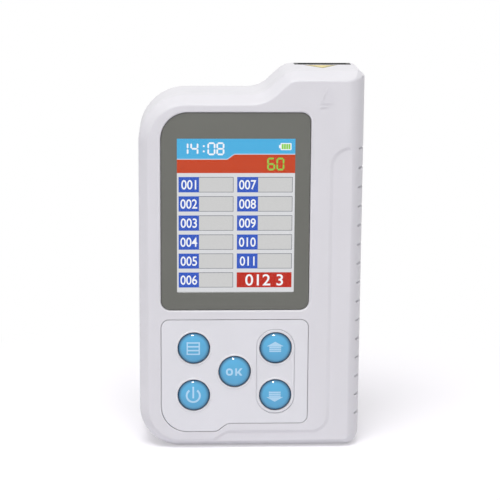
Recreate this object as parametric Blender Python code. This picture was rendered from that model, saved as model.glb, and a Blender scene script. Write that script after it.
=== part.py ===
"""Handheld urine analyzer: two moulded shells round a display, a keypad, optics and a sliding strip tray.

Metres. X runs right, Z up from the bottom face, Y back. Depths are measured back from the front face.
"""

import math

import bmesh
import bpy
from mathutils import Matrix, Vector

# Running clearance between pieces that touch
GAP = 0.0003

# How far a cutter reaches past the skin
CUT_PAST = 0.0025

# Body
BODY_WIDTH = 0.0735
BODY_HEIGHT = 0.126
BODY_DEPTH = 0.030
SHOULDER_DROP = 0.0078
TOWER_FOOT_X = 0.0336
TOWER_SLOPE_RUN = 0.0085
TOWER_FOOT_RADIUS = 0.0099
TOWER_HEAD_RADIUS = 0.0073
TOWER_CORNER_CUT = 0.0020
TOWER_CORNER_RADIUS = 0.0010
SHOULDER_RADIUS = 0.0155
BOTTOM_LEFT_RADIUS = 0.0135
BOTTOM_RIGHT_RADIUS = 0.0048
CHAMFER_RUN = 0.00295
CHAMFER_DEPTH = 0.0040
CHAMFER_FACE_RADIUS = 0.0010
CHAMFER_SIDE_RADIUS = 0.0030
GRIP_RUN = 0.0061
GRIP_DEPTH = 0.0090
BACK_ROUND = 0.0024

# Shell walls and the joint between the shells
SIDE_WALL = 0.0022
FACE_WALL = 0.0026
BACK_WALL = 0.0020
PARTING_DEPTH = 0.0100
LIP_HEIGHT = 0.0015
LIP_THICK = 0.0009

# Lowered band along the right and lower edges of the front
BAND_STEP = 0.0004
BAND_RAMP = 0.0013
BAND_LENS_ROOM = 0.00695
BAND_TOP_DROP = 0.0248
BAND_TOP_RADIUS = 0.0090
BAND_FOOT_Z = 0.00575
BAND_FOOT_RADIUS = 0.0055
BAND_END_MARGIN = 0.02915
BAND_END_RADIUS = 0.0040
BAND_END_SLANT = 1.7

# Finger grooves on the rounded right side
GROOVE_COUNT = 15
GROOVE_FIRST_Z = 0.01108
GROOVE_TOP_DROP = 0.02543
GROOVE_HEIGHT = 0.0011
GROOVE_SLOPE = 0.0006
GROOVE_CUT = 0.0006
GROOVE_FROM = 0.0022
GROOVE_TO = 0.0180

# Display
LENS_LEFT_MARGIN = 0.00725
LENS_TOP_MARGIN = 0.0056
LENS_RIGHT_MARGIN = 0.0179
LENS_THICK = 0.0010
LENS_SET = 0.0004
LENS_BIG_RADIUS = 0.00875
LENS_RADIUS = 0.0030
PICTURE_LEFT = 0.0052
PICTURE_RIGHT = 0.0049
PICTURE_BOTTOM = 0.00594
PICTURE_TOP = 0.00855
WINDOW_MARGIN = 0.0010
LCD_MARGIN = 0.0021
LCD_THICK = 0.0032
TAIL_WIDTH = 0.0180
TAIL_THICK = 0.0003
TAIL_RISE = 0.0032
TAIL_LAP = 0.0026

# Keypad film and keys
FILM_DROP = 0.00335
FILM_THICK = 0.0005
FILM_SET = 0.0001
FILM_FOOT_Z = 0.00875
FILM_HEIGHT = 0.0354
FILM_STEP = 0.0028
FILM_STEP_X = 0.0183
FILM_STEP_RUN = 0.0035
FILM_BIG_RADIUS = 0.00875
FILM_RADIUS = 0.0025
FILM_STEP_RADIUS = 0.0030
KEYPAD_RISE = 0.017825
KEY_EDGE_MARGIN = 0.010675
KEY_PITCH_Z = 0.00805
KEY_RADIUS = 0.0050
KEY_PROUD = 0.0011
KEY_SHOULDER = 0.0002
KEY_FLANGE = 0.0010
KEY_FLANGE_THICK = 0.0008
KEY_STEM_RADIUS = 0.0017
KEY_TRAVEL = 0.0005
HALO_WIDTH = 0.0006
HALO_HEIGHT = 0.00015
SURROUND_MARGIN = 0.00082
SURROUND_RIM = 0.0004

# Main board and what it carries
BOARD_FRONT = 0.0115
BOARD_THICK = 0.0016
BOARD_EDGE = 0.0004
BOARD_FOOT_Z = 0.0080
BOARD_TOP_DROP = 0.0040
BOARD_GUIDE_ROOM = 0.0023
PROCESSOR_SIZE = 0.0100
PROCESSOR_HEIGHT = 0.0014
MEMORY_SIZE = 0.0060
MEMORY_HEIGHT = 0.0012
RADIO_WIDTH = 0.0120
RADIO_LENGTH = 0.0160
RADIO_HEIGHT = 0.0022
BUZZER_RADIUS = 0.0045
BUZZER_HEIGHT = 0.0040
CHIP_ROOM = 0.0020
BUZZER_EDGE = 0.0062
SWITCH_SIZE = 0.0060
SWITCH_HEIGHT = 0.0033
PLUNGER_HEIGHT = 0.0008
USB_Z = 0.0620
USB_WIDTH = 0.0078
USB_HEIGHT = 0.0029
USB_LENGTH = 0.0056
USB_WALL = 0.0004
USB_SET = 0.0005
HOLDER_WALL = 0.0018

# Screws and their posts
POST_RADIUS = 0.0040
BOSS_RADIUS = 0.0028
CASE_SCREW_LENGTH = 0.0088
CASE_SHANK_RADIUS = 0.00125
CASE_HEAD_RADIUS = 0.0024
CASE_HEAD_HEIGHT = 0.0020
CASE_SEAT_DEPTH = 0.0140
POST_HIGH_DROP = 0.0202
POST_LOW_Z = 0.0240
POST_TOWER_DROP = 0.0036
POST_FOOT_Z = 0.0069
BOARD_BOSS_RADIUS = 0.0024
BOARD_POST_LEFT = 0.0101
BOARD_POST_EDGE = 0.0044
BOARD_POST_FOOT = 0.0035
BOARD_POST_SHIFT = 0.0047
BOARD_SCREW_LENGTH = 0.0072
BOARD_SHANK_RADIUS = 0.0010
BOARD_HEAD_RADIUS = 0.0020
BOARD_HEAD_HEIGHT = 0.0016

# Strip guide, whose mouth lines the slot, and tray
SLOT_RIGHT_MARGIN = 0.00335
SLOT_WIDTH = 0.0183
SLOT_DEPTH = 0.0057
SLOT_LIP = 0.0024
GUIDE_WALL = 0.0009
GUIDE_TOP_DROP = 0.0002
TRAY_PLAY = 0.00035
TRAY_THICK = 0.0032
TRAY_TOP_DROP = 0.0010
TRAY_BED_WIDTH = 0.0056
TRAY_BED_DEPTH = 0.0012
TRAY_HEAD = 0.0176
TRAY_LIP = 0.0015
TRAY_NOTCH_HEIGHT = 0.0025
TRAY_NOTCH_WIDTH = 0.0090

# Optics
WELL_COUNT = 12
WELL_WALL = 0.0014
WELL_WIDTH = 0.0080
BLOCK_WIDTH = 0.0120
BLOCK_DEPTH = 0.0050
BLOCK_MARGIN = 0.0015
WELLS_RAISE = 0.0070
WELLS_TOP_DROP = 0.0152
SENSOR_THICK = 0.0013
LAMP_SIZE = 0.0020
LAMP_HEIGHT = 0.0008

# Battery
BATTERY_HEIGHT = 0.0460
BATTERY_THICK = 0.0060
BATTERY_POST_ROOM = 0.00135
BATTERY_GUIDE_ROOM = 0.0062
BATTERY_TOP_DROP = 0.0262
RIB_THICK = 0.0012
RIB_HEIGHT = 0.0040

# Mark beside the slot
MARK_WIDTH = 0.0112
MARK_SHIFT = 0.0009
MARK_PARTING_ROOM = 0.0009
MARK_SLOT_ROOM = 0.0006
MARK_THICK = 0.0004
MARK_SET = 0.0001

# Places that follow from the sizes
HALF = BODY_WIDTH / 2
SHOULDER_Z = BODY_HEIGHT - SHOULDER_DROP
FACE_Y = (KEY_PROUD - BODY_DEPTH) / 2
CHAMFER_END = CHAMFER_DEPTH + CHAMFER_SIDE_RADIUS * math.tan(math.atan2(CHAMFER_RUN, CHAMFER_DEPTH) / 2)
LENS_X0 = LENS_LEFT_MARGIN - HALF
LENS_X1 = HALF - LENS_RIGHT_MARGIN
LENS_Z1 = SHOULDER_Z - LENS_TOP_MARGIN
FILM_Z1 = FILM_FOOT_Z + FILM_HEIGHT
LENS_Z0 = FILM_Z1 + FILM_DROP
PICTURE_X0 = LENS_X0 + PICTURE_LEFT
PICTURE_X1 = LENS_X1 - PICTURE_RIGHT
PICTURE_Z0 = LENS_Z0 + PICTURE_BOTTOM
PICTURE_Z1 = LENS_Z1 - PICTURE_TOP
KEYPAD_X = (LENS_X0 + LENS_X1) / 2
KEYPAD_Z = FILM_FOOT_Z + KEYPAD_RISE
KEY_PITCH_X = (LENS_X1 - LENS_X0) / 2 - KEY_EDGE_MARGIN
LCD_FRONT = FACE_WALL + GAP
LCD_BACK = LCD_FRONT + LCD_THICK
BOARD_BACK = BOARD_FRONT + BOARD_THICK
FLANGE_FRONT = FACE_WALL + GAP
SWITCH_FRONT = BOARD_FRONT - GAP - SWITCH_HEIGHT
PLUNGER_FRONT = SWITCH_FRONT - PLUNGER_HEIGHT
STEM_BACK = PLUNGER_FRONT - KEY_TRAVEL - GAP / 3
INNER_BACK = BODY_DEPTH - BACK_WALL
SLOT_BACK = BODY_DEPTH - SLOT_LIP
SLOT_FRONT = SLOT_BACK - SLOT_DEPTH
SLOT_X1 = HALF - SLOT_RIGHT_MARGIN
SLOT_X0 = SLOT_X1 - SLOT_WIDTH
GUIDE_TOP = BODY_HEIGHT - GUIDE_TOP_DROP
SLOT_X = (SLOT_X0 + SLOT_X1) / 2
BLOCK_BACK = SLOT_FRONT - GAP
BLOCK_FRONT = BLOCK_BACK - BLOCK_DEPTH
SENSOR_BACK = BLOCK_FRONT - GAP
GUIDE_FOOT_Z = POST_FOOT_Z + POST_RADIUS + 2 * GAP
WELLS_Z0 = GUIDE_FOOT_Z + GUIDE_WALL + WELLS_RAISE
WELLS_Z1 = GUIDE_TOP - WELLS_TOP_DROP
WELL_PITCH = (WELLS_Z1 - WELLS_Z0) / WELL_COUNT
GROOVE_PITCH = (BODY_HEIGHT - GROOVE_TOP_DROP - GROOVE_FIRST_Z) / (GROOVE_COUNT - 1)
BATTERY_BACK = INNER_BACK - GAP
BOARD_X0 = SIDE_WALL + BOARD_EDGE - HALF
BOARD_X1 = SLOT_X0 - BOARD_GUIDE_ROOM
POST_X0 = SIDE_WALL - GAP + POST_RADIUS - HALF
BATTERY_X0 = POST_X0 + POST_RADIUS + BATTERY_POST_ROOM
BATTERY_X1 = SLOT_X0 - BATTERY_GUIDE_ROOM
BATTERY_Z1 = SHOULDER_Z - BATTERY_TOP_DROP
BATTERY_Z0 = BATTERY_Z1 - BATTERY_HEIGHT
BOARD_Z1 = SHOULDER_Z - BOARD_TOP_DROP
CASE_POSTS = (
    (POST_X0, SHOULDER_Z - POST_HIGH_DROP),
    (POST_X0, POST_LOW_Z),
    (SLOT_X0 - POST_RADIUS - BOARD_EDGE, SHOULDER_Z - POST_TOWER_DROP),
    (SLOT_X, POST_FOOT_Z),
)
BOARD_POSTS = (
    (BOARD_X0 + BOARD_POST_LEFT, (LENS_Z0 + FILM_Z1) / 2),
    (BOARD_X1 - BOARD_POST_EDGE, (LENS_Z0 + FILM_Z1) / 2),
    (KEYPAD_X, BOARD_FOOT_Z + BOARD_POST_FOOT),
    (KEYPAD_X - BOARD_POST_SHIFT, PICTURE_Z1 + LCD_MARGIN + BOARD_BOSS_RADIUS + 2 * GAP),
)


def linear(code):
    """An sRGB hex colour as linear values."""
    levels = [int(code[i : i + 2], 16) / 255 for i in (0, 2, 4)]
    return [v / 12.92 if v < 0.04045 else ((v + 0.055) / 1.055) ** 2.4 for v in levels] + [1.0]


def finish(name, code, roughness, metallic=0.0):
    """A Principled material."""
    made = bpy.data.materials.new(name)
    made.use_nodes = True
    shader = made.node_tree.nodes["Principled BSDF"]
    shader.inputs["Base Color"].default_value = linear(code)
    shader.inputs["Roughness"].default_value = roughness
    shader.inputs["Metallic"].default_value = metallic
    return made


def clear_scene():
    for thing in list(bpy.data.objects):
        bpy.data.objects.remove(thing)


def fillet(corners):
    """Points of a closed outline; each corner is (x, z, radius, steps), anticlockwise from the front."""
    points = []
    for i, (x, z, radius, steps) in enumerate(corners):
        here = Vector((x, z))
        back = Vector(corners[i - 1][:2]) - here
        ahead = Vector(corners[(i + 1) % len(corners)][:2]) - here
        room = 0.48 * min(back.length, ahead.length)
        back.normalize()
        ahead.normalize()
        half = back.angle(ahead) / 2
        reach = min(radius / math.tan(half), room)
        if steps == 0 or reach <= 0:
            points.append(here)
            continue
        centre = here + (back + ahead).normalized() * reach / math.cos(half)
        start = here + back * reach - centre
        end = here + ahead * reach - centre
        sweep = math.atan2(start.x * end.y - start.y * end.x, start.dot(end))
        for step in range(steps + 1):
            points.append(centre + Matrix.Rotation(sweep * step / steps, 2) @ start)
    return points


def inset(corners, amounts):
    """The outline with each edge moved inwards by its own amount; edge i leaves corner i."""
    lines = []
    for i, corner in enumerate(corners):
        start = Vector(corner[:2])
        run = (Vector(corners[(i + 1) % len(corners)][:2]) - start).normalized()
        lines.append((start + Vector((-run.y, run.x)) * amounts[i], run))
    moved = []
    for i, corner in enumerate(corners):
        (a, u), (b, v) = lines[i - 1], lines[i]
        turn = u.x * v.y - u.y * v.x
        at = a + u * (((b - a).x * v.y - (b - a).y * v.x) / turn)
        shift = math.copysign((amounts[i - 1] + amounts[i]) / 2, turn * (amounts[i - 1] + amounts[i]))
        radius = max(corner[2] - shift, GAP) if corner[2] else 0.0
        moved.append((at.x, at.y, radius, corner[3]))
    return moved


def rectangle(x0, x1, z0, z1, radius=0.0, steps=0):
    return [(x, z, radius, steps) for x, z in ((x0, z0), (x1, z0), (x1, z1), (x0, z1))]


def circle(x, z, radius, steps=24):
    return [
        Vector((x + radius * math.cos(a), z + radius * math.sin(a)))
        for a in (2 * math.pi * k / steps for k in range(steps))
    ]


def body_corners():
    """The front view's outline: bottom edge first, then the right side, tower, shoulder and left side."""
    foot_x = HALF - TOWER_FOOT_X
    return [
        (-HALF, 0.0, BOTTOM_LEFT_RADIUS, 8),
        (HALF, 0.0, BOTTOM_RIGHT_RADIUS, 4),
        (HALF, BODY_HEIGHT - TOWER_CORNER_CUT, TOWER_CORNER_RADIUS, 2),
        (HALF - TOWER_CORNER_CUT, BODY_HEIGHT, TOWER_CORNER_RADIUS, 2),
        (foot_x + TOWER_SLOPE_RUN, BODY_HEIGHT, TOWER_HEAD_RADIUS, 4),
        (foot_x, SHOULDER_Z, TOWER_FOOT_RADIUS, 4),
        (-HALF, SHOULDER_Z, SHOULDER_RADIUS, 8),
    ]


def quarter(share):
    """How far a quarter round has still to go, at a share of its depth."""
    return 1 - math.sqrt(max(0.0, 1 - (1 - share) ** 2)) if share < 1 else 0.0


def chamfer(depth):
    """Inset of the chamfer at a depth: a slope between two rounds."""
    slope = math.atan2(CHAMFER_DEPTH, CHAMFER_RUN)
    if depth < CHAMFER_FACE_RADIUS * (1 - math.cos(slope)):
        reach = CHAMFER_FACE_RADIUS * math.tan(slope / 2)
        return CHAMFER_RUN + reach - math.sqrt(CHAMFER_FACE_RADIUS**2 - (CHAMFER_FACE_RADIUS - depth) ** 2)
    turn = math.pi / 2 - slope
    if depth > CHAMFER_END:
        return 0.0
    if depth > CHAMFER_END - CHAMFER_SIDE_RADIUS * math.sin(turn):
        return CHAMFER_SIDE_RADIUS - math.sqrt(CHAMFER_SIDE_RADIUS**2 - (CHAMFER_END - depth) ** 2)
    return CHAMFER_RUN * (1 - depth / CHAMFER_DEPTH)


def skin_insets(depth, extra=0.0):
    """How far each edge of the outer skin lies inside the outline at a depth: the grip is on the right."""
    side = chamfer(depth)
    grip = GRIP_RUN * quarter(depth / GRIP_DEPTH)
    rear = BACK_ROUND * quarter((BODY_DEPTH - depth) / BACK_ROUND) + extra
    edge = side + rear
    return [edge, grip + rear, (grip + side) / 2 + rear, edge, edge, edge, edge]


def body_ring(depth, extra=0.0):
    return depth, fillet(inset(body_corners(), skin_insets(depth, extra)))


def front_stations():
    """Depths of the front shell's outer rings: close together where the round starts."""
    near = [CHAMFER_END * (k / 9) ** 1.8 for k in range(10)]
    far = [CHAMFER_END + (GRIP_DEPTH - CHAMFER_END) * k / 2 for k in (1, 2)]
    return near + far


def grow(rings, spot):
    """A closed solid through rings of equal count, grown ring by ring; spot gives each point its place."""
    bm = bmesh.new()
    level, points = rings[0]
    face = bm.faces.new([bm.verts.new(spot(level, *point)) for point in points])
    for number, (level, points) in enumerate(rings[1:]):
        old = face
        grown = bmesh.ops.extrude_face_region(bm, geom=[old])["geom"]
        face = next(item for item in grown if isinstance(item, bmesh.types.BMFace))
        if number:
            bmesh.ops.delete(bm, geom=[old], context="FACES_ONLY")
        for vert, point in zip(face.verts, points):
            vert.co = spot(level, *point)
    bmesh.ops.recalc_face_normals(bm, faces=bm.faces)
    return bm


def loft(rings):
    """A solid through front views, from (x, z) points at each depth."""
    return grow(rings, lambda depth, x, z: (x, FACE_Y + depth, z))


def stack(rings):
    """A solid through plans, from (x, depth) points at each height."""
    return grow(rings, lambda z, x, depth: (x, FACE_Y + depth, z))


def across(section, x0, x1):
    """A solid of constant side view, from (depth, z) points, between two places along X."""
    return grow([(x0, section), (x1, section)], lambda x, depth, z: (x, FACE_Y + depth, z))


def prism(points, front, back):
    return loft([(front, points), (back, points)])


def block(x0, x1, front, back, z0, z1):
    return prism(fillet(rectangle(x0, x1, z0, z1)), front, back)


def cylinder(x, z, radius, front, back, steps=24):
    return prism(circle(x, z, radius, steps), front, back)


def turned(profile, x, z, steps):
    """A solid of revolution about the line through x, z along Y; profile is (radius, depth), axis to axis."""
    bm = bmesh.new()
    verts = [bm.verts.new((x + r, FACE_Y + depth, z)) for r, depth in profile]
    edges = [bm.edges.new(pair) for pair in zip(verts, verts[1:])]
    bmesh.ops.spin(
        bm, geom=verts + edges, cent=(x, 0, z), axis=(0, 1, 0), angle=2 * math.pi, steps=steps, use_merge=True
    )
    bmesh.ops.remove_doubles(bm, verts=bm.verts, dist=1e-7)
    bmesh.ops.recalc_face_normals(bm, faces=bm.faces)
    return bm


def gather(shapes):
    """Separate shapes as one mesh."""
    whole = bmesh.new()
    for bm in shapes:
        mesh = bpy.data.meshes.new("shape")
        bm.to_mesh(mesh)
        bm.free()
        whole.from_mesh(mesh)
        bpy.data.meshes.remove(mesh)
    return whole


def place(name, bm, origin=(0.0, 0.0, 0.0)):
    """An object whose origin is at the given point."""
    bmesh.ops.translate(bm, verts=bm.verts, vec=-Vector(origin))
    mesh = bpy.data.meshes.new(name)
    bm.to_mesh(mesh)
    bm.free()
    made = bpy.data.objects.new(name, mesh)
    made.location = origin
    bpy.context.scene.collection.objects.link(made)
    return made


def part(name, bm, material, origin=(0.0, 0.0, 0.0), smooth=True):
    made = place(name, bm, origin)
    made.data.materials.append(material)
    if smooth:
        made.data.shade_smooth()
        made.data.set_sharp_from_angle(angle=math.radians(30))
    return made


def combine(target, name, shapes, operation):
    """Adds or cuts away shapes with a Boolean and keeps them as a hidden guide."""
    guide = place(name, gather(shapes))
    guide.hide_render = True
    guide.display_type = "WIRE"
    step = target.modifiers.new(name, "BOOLEAN")
    step.operation = operation
    step.solver = "EXACT"
    step.object = guide


def lens_corners(spread=0.0):
    outline = [
        (LENS_X0, LENS_Z0, LENS_RADIUS, 4),
        (LENS_X1, LENS_Z0, LENS_RADIUS, 4),
        (LENS_X1, LENS_Z1, LENS_RADIUS, 4),
        (LENS_X0, LENS_Z1, LENS_BIG_RADIUS, 6),
    ]
    return inset(outline, [-spread] * 4)


def film_corners(spread=0.0):
    """The keypad film: its lower edge steps down on the left beside the rounded corner."""
    low = FILM_FOOT_Z - FILM_STEP
    step_x = LENS_X0 + FILM_STEP_X
    outline = [
        (LENS_X0, low, FILM_BIG_RADIUS, 6),
        (step_x, low, FILM_STEP_RADIUS, 3),
        (step_x + FILM_STEP_RUN, FILM_FOOT_Z, FILM_STEP_RADIUS, 3),
        (LENS_X1, FILM_FOOT_Z, FILM_RADIUS, 4),
        (LENS_X1, FILM_Z1, FILM_RADIUS, 4),
        (LENS_X0, FILM_Z1, FILM_RADIUS, 4),
    ]
    return inset(outline, [-spread] * 6)


def key_places():
    """Name and centre of each key, by its place round the middle key."""
    return (
        ("menu", KEYPAD_X - KEY_PITCH_X, KEYPAD_Z + KEY_PITCH_Z),
        ("ok", KEYPAD_X, KEYPAD_Z),
        ("power", KEYPAD_X - KEY_PITCH_X, KEYPAD_Z - KEY_PITCH_Z),
        ("up", KEYPAD_X + KEY_PITCH_X, KEYPAD_Z + KEY_PITCH_Z),
        ("down", KEYPAD_X + KEY_PITCH_X, KEYPAD_Z - KEY_PITCH_Z),
    )


def band_cut():
    """The lowered band on the front, with a ramp up to the raised panel."""
    right = HALF + CUT_PAST
    top = BODY_HEIGHT - BAND_TOP_DROP
    edge_x = LENS_X1 + BAND_LENS_ROOM
    end_x = BAND_END_MARGIN - HALF
    fall = BAND_FOOT_Z + CUT_PAST
    outline = [
        (end_x - fall * BAND_END_SLANT, -CUT_PAST, 0.0, 0),
        (right, -CUT_PAST, 0.0, 0),
        (right, top, 0.0, 0),
        (edge_x, top, BAND_TOP_RADIUS, 6),
        (edge_x, BAND_FOOT_Z, BAND_FOOT_RADIUS, 5),
        (end_x, BAND_FOOT_Z, BAND_END_RADIUS, 4),
    ]
    rings = []
    for depth, share in ((BAND_STEP, 0.5), (-BAND_STEP, -1.5)):
        ramp = BAND_RAMP * share
        rings.append((depth, fillet(inset(outline, [0, 0, ramp, ramp, ramp, ramp]))))
    return loft(rings)


def groove_plan(cut):
    """Plan of a groove whose floor follows the rounded side at a depth of cut, easing in at its front end."""
    steps = 5
    plan = []
    for k in range(steps + 1):
        depth = GROOVE_FROM + (GRIP_DEPTH - GROOVE_FROM) * k / steps
        ease = min(1.0, 2.0 * k / steps)
        plan.append((HALF - GRIP_RUN * quarter(depth / GRIP_DEPTH) - cut * ease, depth))
    plan.append((HALF - cut, GROOVE_TO - GROOVE_CUT))
    plan.append((HALF, GROOVE_TO))
    return plan + [(HALF + CUT_PAST, GROOVE_TO), (HALF + CUT_PAST, GROOVE_FROM)]


def grooves():
    """Finger grooves, square at the top and sloping out at the foot."""
    shapes = []
    deep = groove_plan(GROOVE_CUT)
    clear = groove_plan(-GAP)
    for k in range(GROOVE_COUNT):
        low = GROOVE_FIRST_Z + GROOVE_PITCH * k - GROOVE_HEIGHT / 2
        shapes.append(stack([(low, clear), (low + GROOVE_SLOPE, deep), (low + GROOVE_HEIGHT, deep)]))
    return shapes


def front_shell(plastic):
    """Front moulding: a cup with a rebated rim, lens and film seats, window, key holes and screw bosses."""
    rings = [body_ring(depth) for depth in front_stations()]
    rebate = LIP_THICK + 2 * GAP
    rings.append(body_ring(PARTING_DEPTH))
    rings.append(body_ring(PARTING_DEPTH, SIDE_WALL - rebate))
    rings.append(body_ring(PARTING_DEPTH - LIP_HEIGHT - GAP, SIDE_WALL - rebate))
    rings.append(body_ring(PARTING_DEPTH - LIP_HEIGHT - GAP, SIDE_WALL))
    rings.append(body_ring((CHAMFER_DEPTH + PARTING_DEPTH) / 2, SIDE_WALL))
    rings.append(body_ring(CHAMFER_DEPTH, SIDE_WALL))
    rings.append(body_ring(FACE_WALL, SIDE_WALL))
    shell = part("front_shell", loft(rings), plastic)
    root = FACE_WALL - GAP
    bosses = [cylinder(x, z, BOSS_RADIUS, root, PARTING_DEPTH, 16) for x, z in CASE_POSTS]
    bosses += [cylinder(x, z, BOARD_BOSS_RADIUS, root, BOARD_FRONT - GAP, 16) for x, z in BOARD_POSTS]
    combine(shell, "front_bosses", bosses, "UNION")
    combine(shell, "front_band", [band_cut()], "DIFFERENCE")
    above = -KEY_PROUD
    lens_floor = LENS_SET + LENS_THICK + GAP
    film_floor = FILM_SET + FILM_THICK + GAP
    seats = [prism(fillet(lens_corners(GAP)), above, lens_floor)]
    seats.append(prism(fillet(film_corners(GAP)), above, film_floor))
    combine(shell, "front_seats", seats, "DIFFERENCE")
    window = inset(
        rectangle(PICTURE_X0, PICTURE_X1, PICTURE_Z0, PICTURE_Z1, WINDOW_MARGIN, 2), [-WINDOW_MARGIN] * 4
    )
    holes = [prism(fillet(window), lens_floor / 2, FACE_WALL + GAP)]
    for _, x, z in key_places():
        holes.append(cylinder(x, z, KEY_RADIUS + GAP, film_floor / 2, FACE_WALL + GAP, 32))
    for x, z in CASE_POSTS:
        depth = CASE_SEAT_DEPTH + GAP - CASE_SCREW_LENGTH - GAP
        holes.append(cylinder(x, z, CASE_SHANK_RADIUS + GAP, depth, PARTING_DEPTH + GAP, 16))
    for x, z in BOARD_POSTS:
        depth = BOARD_BACK + GAP - BOARD_SCREW_LENGTH - GAP
        holes.append(cylinder(x, z, BOARD_SHANK_RADIUS + GAP, depth, BOARD_FRONT, 12))
    combine(shell, "front_holes", holes, "DIFFERENCE")
    combine(shell, "front_grooves", grooves(), "DIFFERENCE")
    return shell


def battery_ribs():
    """Four low walls on the rear shell that hold the battery."""
    x0 = BATTERY_X0 - GAP - RIB_THICK
    x1 = BATTERY_X1 + GAP + RIB_THICK
    z0 = BATTERY_Z0 - GAP - RIB_THICK
    z1 = BATTERY_Z1 + GAP + RIB_THICK
    front = INNER_BACK - RIB_HEIGHT
    back = INNER_BACK + GAP
    up = (z1 - z0) / 3
    across = (x1 - x0) / 3
    return [
        block(x0, x0 + RIB_THICK, front, back, z0 + up, z1 - up),
        block(x1 - RIB_THICK, x1, front, back, z0 + up, z1 - up),
        block(x0 + across, x1 - across, front, back, z0, z0 + RIB_THICK),
        block(x0 + across, x1 - across, front, back, z1 - RIB_THICK, z1),
    ]


def mark_outline(spread, z0, z1):
    """The three-cornered mark in front of the slot, on the tower's top face."""
    base = SLOT_FRONT - 2 * GAP - MARK_SLOT_ROOM
    point = PARTING_DEPTH + MARK_PARTING_ROOM
    middle = SLOT_X - MARK_SHIFT
    half = MARK_WIDTH / 2 + spread
    section = [(middle - half, base + spread), (middle + half, base + spread), (middle, point - spread)]
    return stack([(z0, section), (z1, section)])


def rear_shell(plastic):
    """Rear moulding: a deep cup with a lip, screw posts, battery ribs, strip slot and socket hole."""
    start = PARTING_DEPTH + GAP
    steps = 4
    outer = [BODY_DEPTH - BACK_ROUND * (1 - math.cos(math.pi / 2 * k / steps)) for k in range(steps + 1)]
    rings = [body_ring(depth) for depth in outer]
    rings.append(body_ring(start))
    rings.append(body_ring(start, SIDE_WALL - LIP_THICK - GAP))
    rings.append(body_ring(start - LIP_HEIGHT, SIDE_WALL - LIP_THICK - GAP))
    rings.append(body_ring(start - LIP_HEIGHT, SIDE_WALL - GAP))
    rings.append(body_ring(start, SIDE_WALL - GAP))
    rings.append(body_ring(start + GAP, SIDE_WALL))
    rings.append(body_ring(BODY_DEPTH - BACK_ROUND, SIDE_WALL))
    rings.append((INNER_BACK, fillet(inset(body_corners(), [SIDE_WALL + GAP] * 7))))
    shell = part("rear_shell", loft(rings), plastic)
    posts = [cylinder(x, z, POST_RADIUS, PARTING_DEPTH + GAP, INNER_BACK + GAP, 20) for x, z in CASE_POSTS]
    combine(shell, "rear_posts", posts + battery_ribs(), "UNION")
    holes = []
    for x, z in CASE_POSTS:
        profile = (
            (0.0, PARTING_DEPTH - GAP),
            (CASE_SHANK_RADIUS + GAP, PARTING_DEPTH - GAP),
            (CASE_SHANK_RADIUS + GAP, CASE_SEAT_DEPTH),
            (CASE_HEAD_RADIUS + GAP, CASE_SEAT_DEPTH),
            (CASE_HEAD_RADIUS + GAP, BODY_DEPTH + GAP),
            (0.0, BODY_DEPTH + GAP),
        )
        holes.append(turned(profile, x, z, 20))
    usb_front = BOARD_BACK
    usb_back = BOARD_BACK + GAP + USB_HEIGHT + GAP
    reach = USB_WIDTH / 2 + GAP
    holes.append(block(-HALF - GAP, -HALF + 2 * SIDE_WALL, usb_front, usb_back, USB_Z - reach, USB_Z + reach))
    slot_z = BODY_HEIGHT - 2 * SIDE_WALL
    holes.append(
        block(SLOT_X0 - GAP, SLOT_X1 + GAP, SLOT_FRONT - GAP, SLOT_BACK + GAP, slot_z, BODY_HEIGHT + GAP)
    )
    holes.append(mark_outline(GAP, BODY_HEIGHT - MARK_SET - MARK_THICK - GAP, BODY_HEIGHT + GAP))
    combine(shell, "rear_holes", holes, "DIFFERENCE")
    combine(shell, "rear_grooves", grooves(), "DIFFERENCE")
    return shell


def display_lens(material):
    return part("display_lens", prism(fillet(lens_corners()), LENS_SET, LENS_SET + LENS_THICK), material)


def lcd_module(material):
    frame = rectangle(
        PICTURE_X0 - LCD_MARGIN, PICTURE_X1 + LCD_MARGIN, PICTURE_Z0 - LCD_MARGIN, PICTURE_Z1 + LCD_MARGIN
    )
    return part("lcd_module", prism(fillet(frame), LCD_FRONT, LCD_BACK), material)


def lcd_holder(material):
    """Frame that stands on the board and backs the display."""
    x0 = max(PICTURE_X0 - LCD_MARGIN, POST_X0 + POST_RADIUS + GAP)
    x1 = min(PICTURE_X1 + LCD_MARGIN, BOARD_X1)
    frame = rectangle(x0, x1, PICTURE_Z0 - LCD_MARGIN + HOLDER_WALL, PICTURE_Z1 + LCD_MARGIN)
    inner = inset(frame, [HOLDER_WALL] * 4)
    front = LCD_BACK + GAP
    back = BOARD_FRONT - GAP
    holder = part("lcd_holder", prism(fillet(frame), front, back), material)
    combine(holder, "holder_opening", [prism(fillet(inner), front - GAP, back + GAP)], "DIFFERENCE")
    return holder


def display_tail(material):
    """Flexible strip that bends from the foot of the display back to the board."""
    start = (LCD_FRONT + LCD_BACK) / 2
    end = BOARD_FRONT - GAP - TAIL_THICK / 2
    top = PICTURE_Z0 - LCD_MARGIN - GAP
    bend_z = top - TAIL_RISE
    radius = (end - start) / 2
    outer = [(start - TAIL_THICK / 2, top)]
    inner = [(start + TAIL_THICK / 2, top)]
    steps = 12
    for k in range(steps + 1):
        turn = math.pi + math.pi * k / steps
        for side, points in ((TAIL_THICK / 2, outer), (-TAIL_THICK / 2, inner)):
            reach = radius + side
            points.append(((start + end) / 2 + reach * math.cos(turn), bend_z + reach * math.sin(turn)))
    outer.append((end + TAIL_THICK / 2, bend_z + TAIL_LAP))
    inner.append((end - TAIL_THICK / 2, bend_z + TAIL_LAP))
    half = TAIL_WIDTH / 2
    return part("display_tail", across(outer + inner[::-1], KEYPAD_X - half, KEYPAD_X + half), material)


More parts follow.
